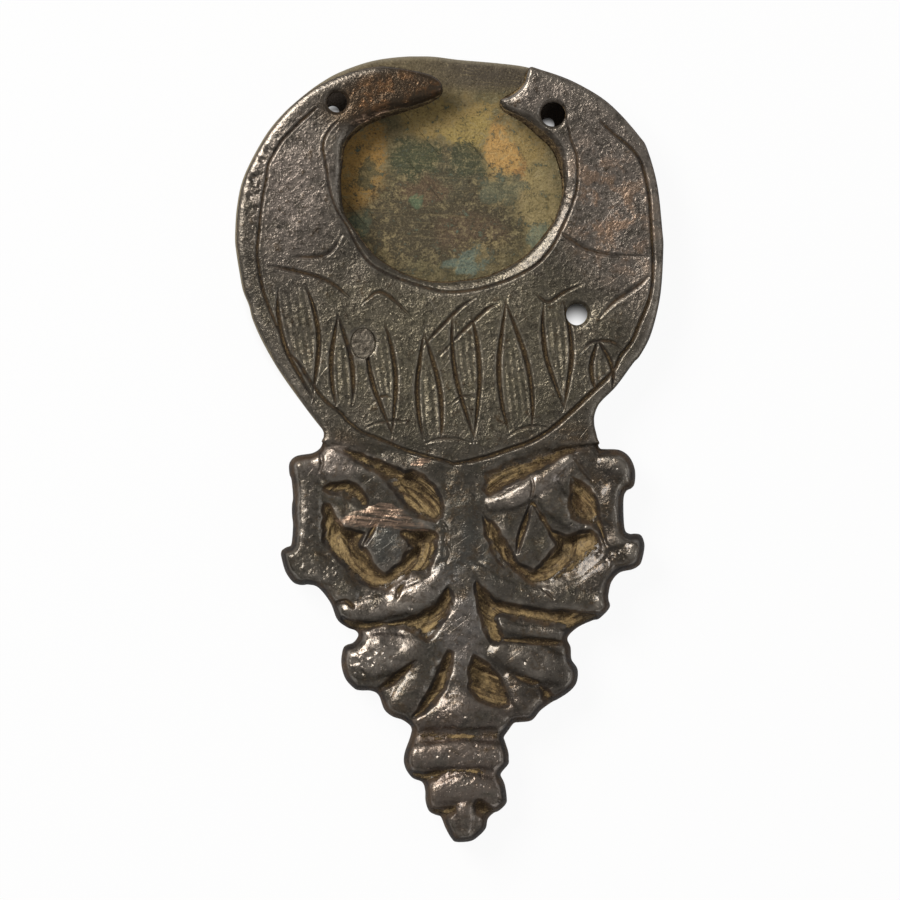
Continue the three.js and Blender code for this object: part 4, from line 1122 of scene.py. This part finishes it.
height = plan.layer(PLATE_TOP) - LEAF_DROP * lowest
height = height + raised * lowest - carved * lowest - edges - bevelled
height = height - engraved * smoothstep(seat, 1, 1.1) - seated - pits + waves
height = np.clip(height, LOWEST_CUT, RIDGE_TOP - 0.01)
places = spots_of(front)
floor = PLATE_LOW * smoothstep(places[:, 1], NECK_Y - 0.2, NECK_Y + 1)
sculpt(front, plan, height, floor, PLATE_TOP)
thinned(front, FRONT_TRIANGLES)

# marks for the material: dirt in the hollows, rubbed ridges, bare copper, and painted shade, which darkens
# the outer walls, the sunken places, the steep walls of the hollows, the grooves and the bevels, where the
# metal is also duller
sunk = plan.soft(height, (1, 2, 4, 8, 8)) - height
dirt = np.maximum(smoothstep(carved * lowest, 0.04, 0.8), 0.8 * smoothstep(sunk, 0.06, 0.2))
dirt = np.maximum(dirt, 0.1 * smoothstep(engraved, 0.07, 0.15))
dirt = np.maximum(dirt, 0.5 * smoothstep(bevelled, 0.36, 0.5)) * (1 - 0.8 * smoothstep(edges, 0.2, 0.8))
steep = np.hypot(*np.gradient(plan.soft(carved, (1, 1)), plan.cell))
brink = steep * (1 - smoothstep(carved, 0.2, 0.5))
cliffs = np.maximum(smoothstep(steep, 0.9, 1.25), smoothstep(brink, 0.35, 0.65))
# painted shade: walls, sunken places, grooves and bevels, darkened as if in shadow
dull_shaded_walls = np.maximum(smoothstep(edges, 0.06, 0.36), 0.8 * smoothstep(sunk, 0.1, 0.3))
dull_shaded_walls = np.maximum(dull_shaded_walls, 0.9 * lowest * cliffs)
dull_shaded_walls = np.maximum(dull_shaded_walls, 0.95 * smoothstep(engraved, 0.05, 0.12))
dull_shaded_walls = np.maximum(dull_shaded_walls, 0.8 * smoothstep(bevelled, 0.36, 0.5))
rubbed = smoothstep(-sunk, 0.02, 0.12) * (1 - smoothstep(edges, 0.02, 0.2))
rubbed = np.maximum(rubbed, smoothstep(raised * lowest, 0.2, 0.45) * (1 - smoothstep(edges, 0.05, 0.4)))
bare = plan.layer()
for strength, line in SCRAPED:
    plan.stroke(bare, strength, line, domed=True)
paint(front, plan, [dirt, rubbed, bare, dull_shaded_walls])
choose(front)
bpy.ops.object.shade_smooth()

# patinated bronze: dark grey-brown with warmer and bluer clouds, a fine metallic grain, scratches, and a
# soft shine where the ridges are rubbed. Pale blotches are painted highlights, and the walls, grooves and
# sunken places are darkened as painted shade.
# turn, shift and length
SCRATCHES = [(0.5, 0.01, 60), (-0.65, 0.03, 40), (1.35, 0.05, 50), (2.2, 0.07, 70)]
# blotches of one kind each: x, y, half width, half height, edge, turn and strength
NECK_SOIL = [(-9.4, 0.1, 2.6, 1.3, 0.7, 0, 1), (9.6, 0.5, 3.4, 1.3, 0.7, 0, 1)]
DULL = [(13.5, -6, 3.6, 8, 0.6, 0, 1), (7.5, -19, 4.2, 4.6, 0.7, 0, 1)]
# painted highlights: pale blotches on the horns and on the leaf's shoulders, lobes, tendril and tiers, where
# they would catch the soft box
PAINTED_HIGHLIGHTS = [
    (13.4, 20.5, 4.2, 9, 0.6, 0.25, 0.7),
    (7.5, 28.2, 3.5, 1.6, 0.7, 0, 0.7),
    (-5.8, -16, 3, 1.8, 0.6, 0, 1),
    (6.6, -2.6, 3.2, 1.2, 0.6, 0.5, 1),
    (-12.8, 21, 3.2, 6, 0.7, 0, 0.8),
    (-9.6, -0.9, 2.6, 1.3, 0.6, 0, 1),
    (-11.6, -4.6, 1.2, 3.4, 0.6, 0, 0.25),
    (-3.4, -11.6, 4, 1.2, 0.6, 0.35, 1),
    (1, -24, 4.2, 5, 0.6, 0, 0.5),
    (1.1, -14.6, 1.6, 3.4, 0.5, 0, 1),
]
STEEL = [(0.9, -12, 2.4, 7, 0.6, 0, 1), (-4.8, -7.6, 1.4, 2, 0.4, 0, 1)]
RUST = [(-4.9, 28.3, 3, 1.6, 0.5, 0.2, 1), (-1.5, 29, 1, 0.8, 0.5, 0, 1)]

patina, place, marks = new_finish("patinated_bronze")
soiled, rubbed_bright, bared = marks.parts()
# the fourth mark: painted shade on the walls, grooves and sunken places, where the metal is also duller
wall = marks.node("ShaderNodeAttribute", {}, "Alpha", attribute_name="marks")
east, north, _ = place.parts()
cloudy = place.cloud(0.11, 4, 0.6, 0.6)
mottled = place.mapped(shift=(0.03, 0.09, 0.01)).cloud(0.6, 5, 0.62, 0.3)
fine = place.cloud(2.6, 3, 0.65)
sand = place.mapped(shift=(0.2, 0.1, 0)).cloud(6, 2, 0.6)
dents = place.mapped(shift=(0.1, 0.3, 0)).cloud(4, 2, 0.5).between(0.64, 0.72)
specks = place.mapped(shift=(0.3, 0.2, 0)).cloud(5.5, 1, 0.4).between(0.66, 0.71)
stained = place.mapped(shift=(0.05, 0.15, 0)).cloud(0.9, 5, 0.7, 0.5).between(0.5, 0.66)
ragged = place.cloud(0.8, 5, 0.62, 0.6)
on_head = north.between(-0.5 * MM, 1.5 * MM)
below_neck = 1 - north.between(-3 * MM, 1 * MM)
grainy = (0.8 + 0.2 * on_head) * (1 - rubbed_bright * 0.35)
scratch = None
for turn, shift, length in SCRATCHES:
    lines = place.mapped(turn=turn, stretch=(1, length, 1), shift=(shift, shift, 0)).cloud(5, 1, 0.4)
    lines = lines.between(0.75, 0.81)
    scratch = scratch.most(lines) if scratch else lines
rust = place.blotches(RUST)
base = cloudy.between(0.35, 0.65).mixed("#5a544a", "#746c62")
base = base.under(
    ((1 - on_head) * 0.6, mottled.between(0.35, 0.62).mixed("#635c50", "#39342c")),
    (mottled.between(0.45, 0.7) * 0.6, "#686251"),
    (mottled.between(0.6, 0.75) * 0.4, "#857b71"),
    (place.blotch(0, 8, 12, 6.5, 0.6) * 0.55, "#7f7760"),
    (place.blotches(NECK_SOIL) * mottled.between(0.35, 0.55) * 0.75, "#5e4d38"),
    (place.blotches(DULL) * 0.5, "#382e28"),
    # painted highlights
    (place.blotches(PAINTED_HIGHLIGHTS) * mottled.between(0.3, 0.6), "#9a8e84"),
    (fine.between(0.45, 0.68) * 0.62 * (0.5 + 0.5 * grainy), "#2a2621"),
    (sand.between(0.6, 0.75) * 0.3, "#a59c90"),
    (rubbed_bright * mottled.between(0.3, 0.65) * 0.7, "#a39a8e"),
    (scratch * 0.25, "#a19889"),
    (place.blotch(0.9, -25, 7, 6, 0.7) * mottled.between(0.35, 0.6) * 0.5, "#6e5b50"),
    (place.blotches(STEEL) * mottled.between(0.38, 0.6) * 0.4, "#6a6d6c"),
    (stained * below_neck * 0.6, "#5a4a36"),
    (place.blotch(-5, 28.2, 5.2, 2.2, 0.3, 0.25), "#4f4234"),
    (rust * ragged.between(0.44, 0.62) * 0.85, "#7c5a3c"),
    (rust * ragged.between(0.6, 0.72) * 0.7, "#b39267"),
    (place.blotch(12.9, 19, 3, 4.4, 0.8, 0.4) * mottled.between(0.48, 0.6) * 0.75, "#997d65"),
    # painted shade: the walls, grooves and sunken places are darkened to black-brown
    (wall, mottled.between(0.4, 0.6).mixed("#1f1813", "#40301f")),
)
# the soil in the hollows, streaked by the gouge round the middle of each leaf, and darkened on its walls as
# painted shade
aside = (east - STEM_X * MM).maths("ABSOLUTE", east - STEM_X * MM, 0) - LEAF_MIDDLE[0] * MM
below = LEAF_MIDDLE[1] * MM - north
away = place.node("ShaderNodeCombineXYZ", {0: aside, 1: below}).vector("LENGTH", {}, 1)
bearing = aside.maths("ARCTAN2", aside, below)
gouge = place.node("ShaderNodeCombineXYZ", {0: away, 1: bearing * (0.4 * MM)}).cloud(2.6, 6, 0.75, 0.25)
soil = gouge.between(0.38, 0.56).mixed("#3e2f1c", "#b79d6d")
soil = soil.under(
    (cloudy.between(0.35, 0.6) * 0.3, "#7a5c3a"),
    (mottled.between(0.48, 0.62) * 0.55, "#4a3d28"),
    # painted shade on the walls of the hollows
    (wall.between(0.2, 0.8) * 0.75, "#3a2b1b"),
    (fine.between(0.48, 0.6) * 0.5, "#33281b"),
    (sand.between(0.56, 0.68) * 0.4, "#bda474"),
)
grime = soiled + (ragged - 0.5) * 0.9 + (fine - 0.5) * 0.7
dirty = grime.between(0.22, 0.46)
dusty = grime.between(0.05, 0.3)
drawn = place.mapped(turn=1.5, stretch=(1, 18, 1)).cloud(4.0, 3, 0.6).between(0.35, 0.65)
bare_here = (bared + (ragged - 0.5) * 1.6).between(0.35, 0.75) * (0.3 + 0.7 * drawn)
base = base.under(
    (dusty * 0.8, mottled.between(0.4, 0.6).mixed("#362a1d", "#5b482f")),
    (dirty * 0.95, soil),
    (bare_here, drawn.mixed("#57463a", "#bfa087")),
)
finished(
    place,
    base,
    metallic=((0.9 - dusty * 0.5 - dirty * 0.3) * (1 - wall)).most(bare_here),
    rough=(0.25 + on_head * 0.01 + mottled * 0.1 + dirty * 0.3 + wall * 0.5).least(0.9),
    bumps=[
        (mottled * (0.5 + 0.5 * grainy), 0.1),
        (fine * grainy, 0.085),
        (sand * grainy, 0.02),
        (dents * grainy, -0.03),
        (specks, 0.04),
        (scratch, -0.01),
        ((gouge * 1.6 + sand * 0.6) * dirty, 0.18),
    ],
    coat=(0.6 - on_head * 0.3 - dirty * 0.55 - wall).most(0),
    coat_rough=0.15,
)
clad(front, patina)
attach(front, "root")
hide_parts("front_plate_with_terminal")

# The rivet is a short bronze pin through both plates and the spacer. Its ends were hammered out to ovals in
# shallow seats and filed flush with the faces, so that hardly a line shows round it.
RIVET_HEAD = 1.1
RIVET_SHANK = 0.85
RIVET_HEAD_DEPTH = 0.5
RIVET_RIM = 0.1  # how far below the face the head begins to round over
RIVET_DENT = 0.03

bpy.ops.object.select_all(action="DESELECT")
bpy.ops.mesh.primitive_circle_add(vertices=56, radius=RIVET_HEAD * MM, fill_type="NGON", location=(0, 0, 0))
rivet = bpy.context.object
rivet.name = "assembly_rivet_pin"
bpy.ops.object.mode_set(mode="EDIT")
bpy.ops.mesh.select_all(action="SELECT")
steps = [
    (RIVET_HEAD_DEPTH, RIVET_SHANK),
    (PLATE_TOP / 2, RIVET_SHANK),
    (PLATE_TOP - RIVET_HEAD_DEPTH, RIVET_SHANK),
    (PLATE_TOP - RIVET_RIM, RIVET_HEAD),
    (PLATE_TOP - 0.01, RIVET_HEAD * 0.95),
]
reached, width = 0, RIVET_HEAD
for level, radius in steps:
    bpy.ops.mesh.extrude_region_move(TRANSFORM_OT_translate={"value": (0, 0, (level - reached) * MM)})
    bpy.ops.transform.resize(value=(radius / width, radius / width, 1), center_override=(0, 0, level * MM))
    reached, width = level, radius
for inner in (0.8, 0.55, 0.3):
    bpy.ops.mesh.inset(thickness=(width - inner) * MM, depth=0)
    width = inner
bpy.ops.mesh.poke()
bpy.ops.mesh.select_all(action="SELECT")
bpy.ops.mesh.normals_make_consistent(inside=False)
bpy.ops.mesh.subdivide(number_cuts=2)
bpy.ops.object.mode_set(mode="OBJECT")
places = spots_of(rivet)
head = smoothstep(places[:, 2], PLATE_TOP - RIVET_HEAD_DEPTH, PLATE_TOP - RIVET_RIM)
dent = grain(51, places[:, 0] / 0.3 + 20, places[:, 1] / 0.3 + 20)
places[:, 2] += head * RIVET_DENT * (dent - 1)
for axis in (0, 1):
    widened = 1 + head * (RIVET_SEAT[axis] / RIVET_HEAD - 1)
    places[:, axis] = places[:, axis] * widened + RIVET_HOLE[axis]
move_spots(rivet, places)
pinned, place, _ = new_finish("rivet_bronze")
hammered = place.cloud(2.2, 4, 0.65, 0.3)
fine = place.cloud(5, 4, 0.7)
base = hammered.between(0.35, 0.65).mixed("#575046", "#7b7366")
base = base.under((fine.between(0.5, 0.7) * 0.6, "#34302e"))
finished(place, base, metallic=0.8, rough=0.3 + fine * 0.15, bumps=[(hammered, 0.06), (fine, 0.05)])
clad(rivet, pinned)
choose(rivet)
bpy.ops.object.shade_smooth_by_angle(angle=0.6)
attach(rivet, "root")
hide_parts("assembly_rivet")

# The floor is a white table. The camera and reflections see it nearly as bright as white paper, with the
# strap end's shadow still on it. Right under the head and the neck it doesn't glow and stays dark, but for a
# painted pool of light at the foot of each hole: a glowing oval, so that the hole is dark above and bright
# below.
FLOOR_SIZE = 3000
FLOOR_GAP = 0.02
FLOOR_GLOW = 0.94
FLOOR_WHITE = (0.86, 0.86, 0.86, 1)
# x, y, half width and half height
UNDER_HEAD = (0, 15.2, 16.2, 15.4)
UNDER_NECK = (0.9, 1.15, 10.2, 1.1)

bpy.ops.object.select_all(action="DESELECT")
bpy.ops.mesh.primitive_plane_add(size=FLOOR_SIZE * MM, location=(0, 0, -FLOOR_GAP * MM))
floor = bpy.context.object
floor.name = "floor"
paper, place, _ = new_finish("white_table")
rays = ("Is Camera Ray", "Is Glossy Ray", "Is Transmission Ray")
seen, mirrored, through = [place.node("ShaderNodeLightPath", {}, ray) for ray in rays]
glowing_floor = 1 - place.blotch(*UNDER_HEAD, edge=0.06).most(place.blotch(*UNDER_NECK, edge=0.1))
# painted light: a glowing oval low in each through hole
for x, y, radius in [*back_holes[:2], LOST_RIVET_HOLE]:
    glowing_floor = glowing_floor.most(place.blotch(x, y - 1.3 * radius, 1.2 * radius, 1.3 * radius, 0.8))
shown = seen.most(mirrored).most(through) * glowing_floor * FLOOR_GLOW
matt = place.node("ShaderNodeBsdfDiffuse", {"Color": FLOOR_WHITE})
glow = place.node("ShaderNodeEmission", {"Color": (1, 1, 1, 1), "Strength": 1.0})
mixed = place.node("ShaderNodeMixShader", {0: shown, 1: matt, 2: glow})
place.node("ShaderNodeOutputMaterial", {"Surface": mixed})
clad(floor, paper)
floor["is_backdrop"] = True

# The light: one soft box on the left towards the mouth, a weak one on the right, and a dim even sky that is
# darker near the horizon.
# name, place and size in metres, watts and colour
LAMPS = [
    ("soft_box", (-0.3, 0.27, 0.41), 0.3, 3.1, (1.0, 0.97, 0.94)),
    ("side_fill", (0.45, -0.1, 0.3), 0.25, 0.3, (0.96, 0.98, 1.0)),
]
HORIZON_GREY = (0.1, 0.1, 0.1, 1)
ZENITH_GREY = (0.28, 0.28, 0.28, 1)

for name, spot, size, watts, tint in LAMPS:
    lamp = bpy.data.lights.new(name, "AREA")
    lamp.size = size
    lamp.energy = watts
    lamp.color = tint
    holder = bpy.data.objects.new(name, lamp)
    holder.location = spot
    scene.collection.objects.link(holder)
    aim = -holder.location
    holder.rotation_euler = aim.to_track_quat("-Z", "Y").to_euler()

world = bpy.data.worlds.new("studio")
world.use_nodes = True
world.node_tree.nodes.clear()
sky = Paint(world.node_tree)
upwards = sky.node("ShaderNodeTexCoord", {}, "Generated").parts()[2]
grey = upwards.between(0.0, 0.9).mixed(HORIZON_GREY, ZENITH_GREY)
background = sky.node("ShaderNodeBackground", {"Color": grey, "Strength": 1.0})
sky.node("ShaderNodeOutputWorld", {"Surface": background})
scene.world = world

low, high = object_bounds()
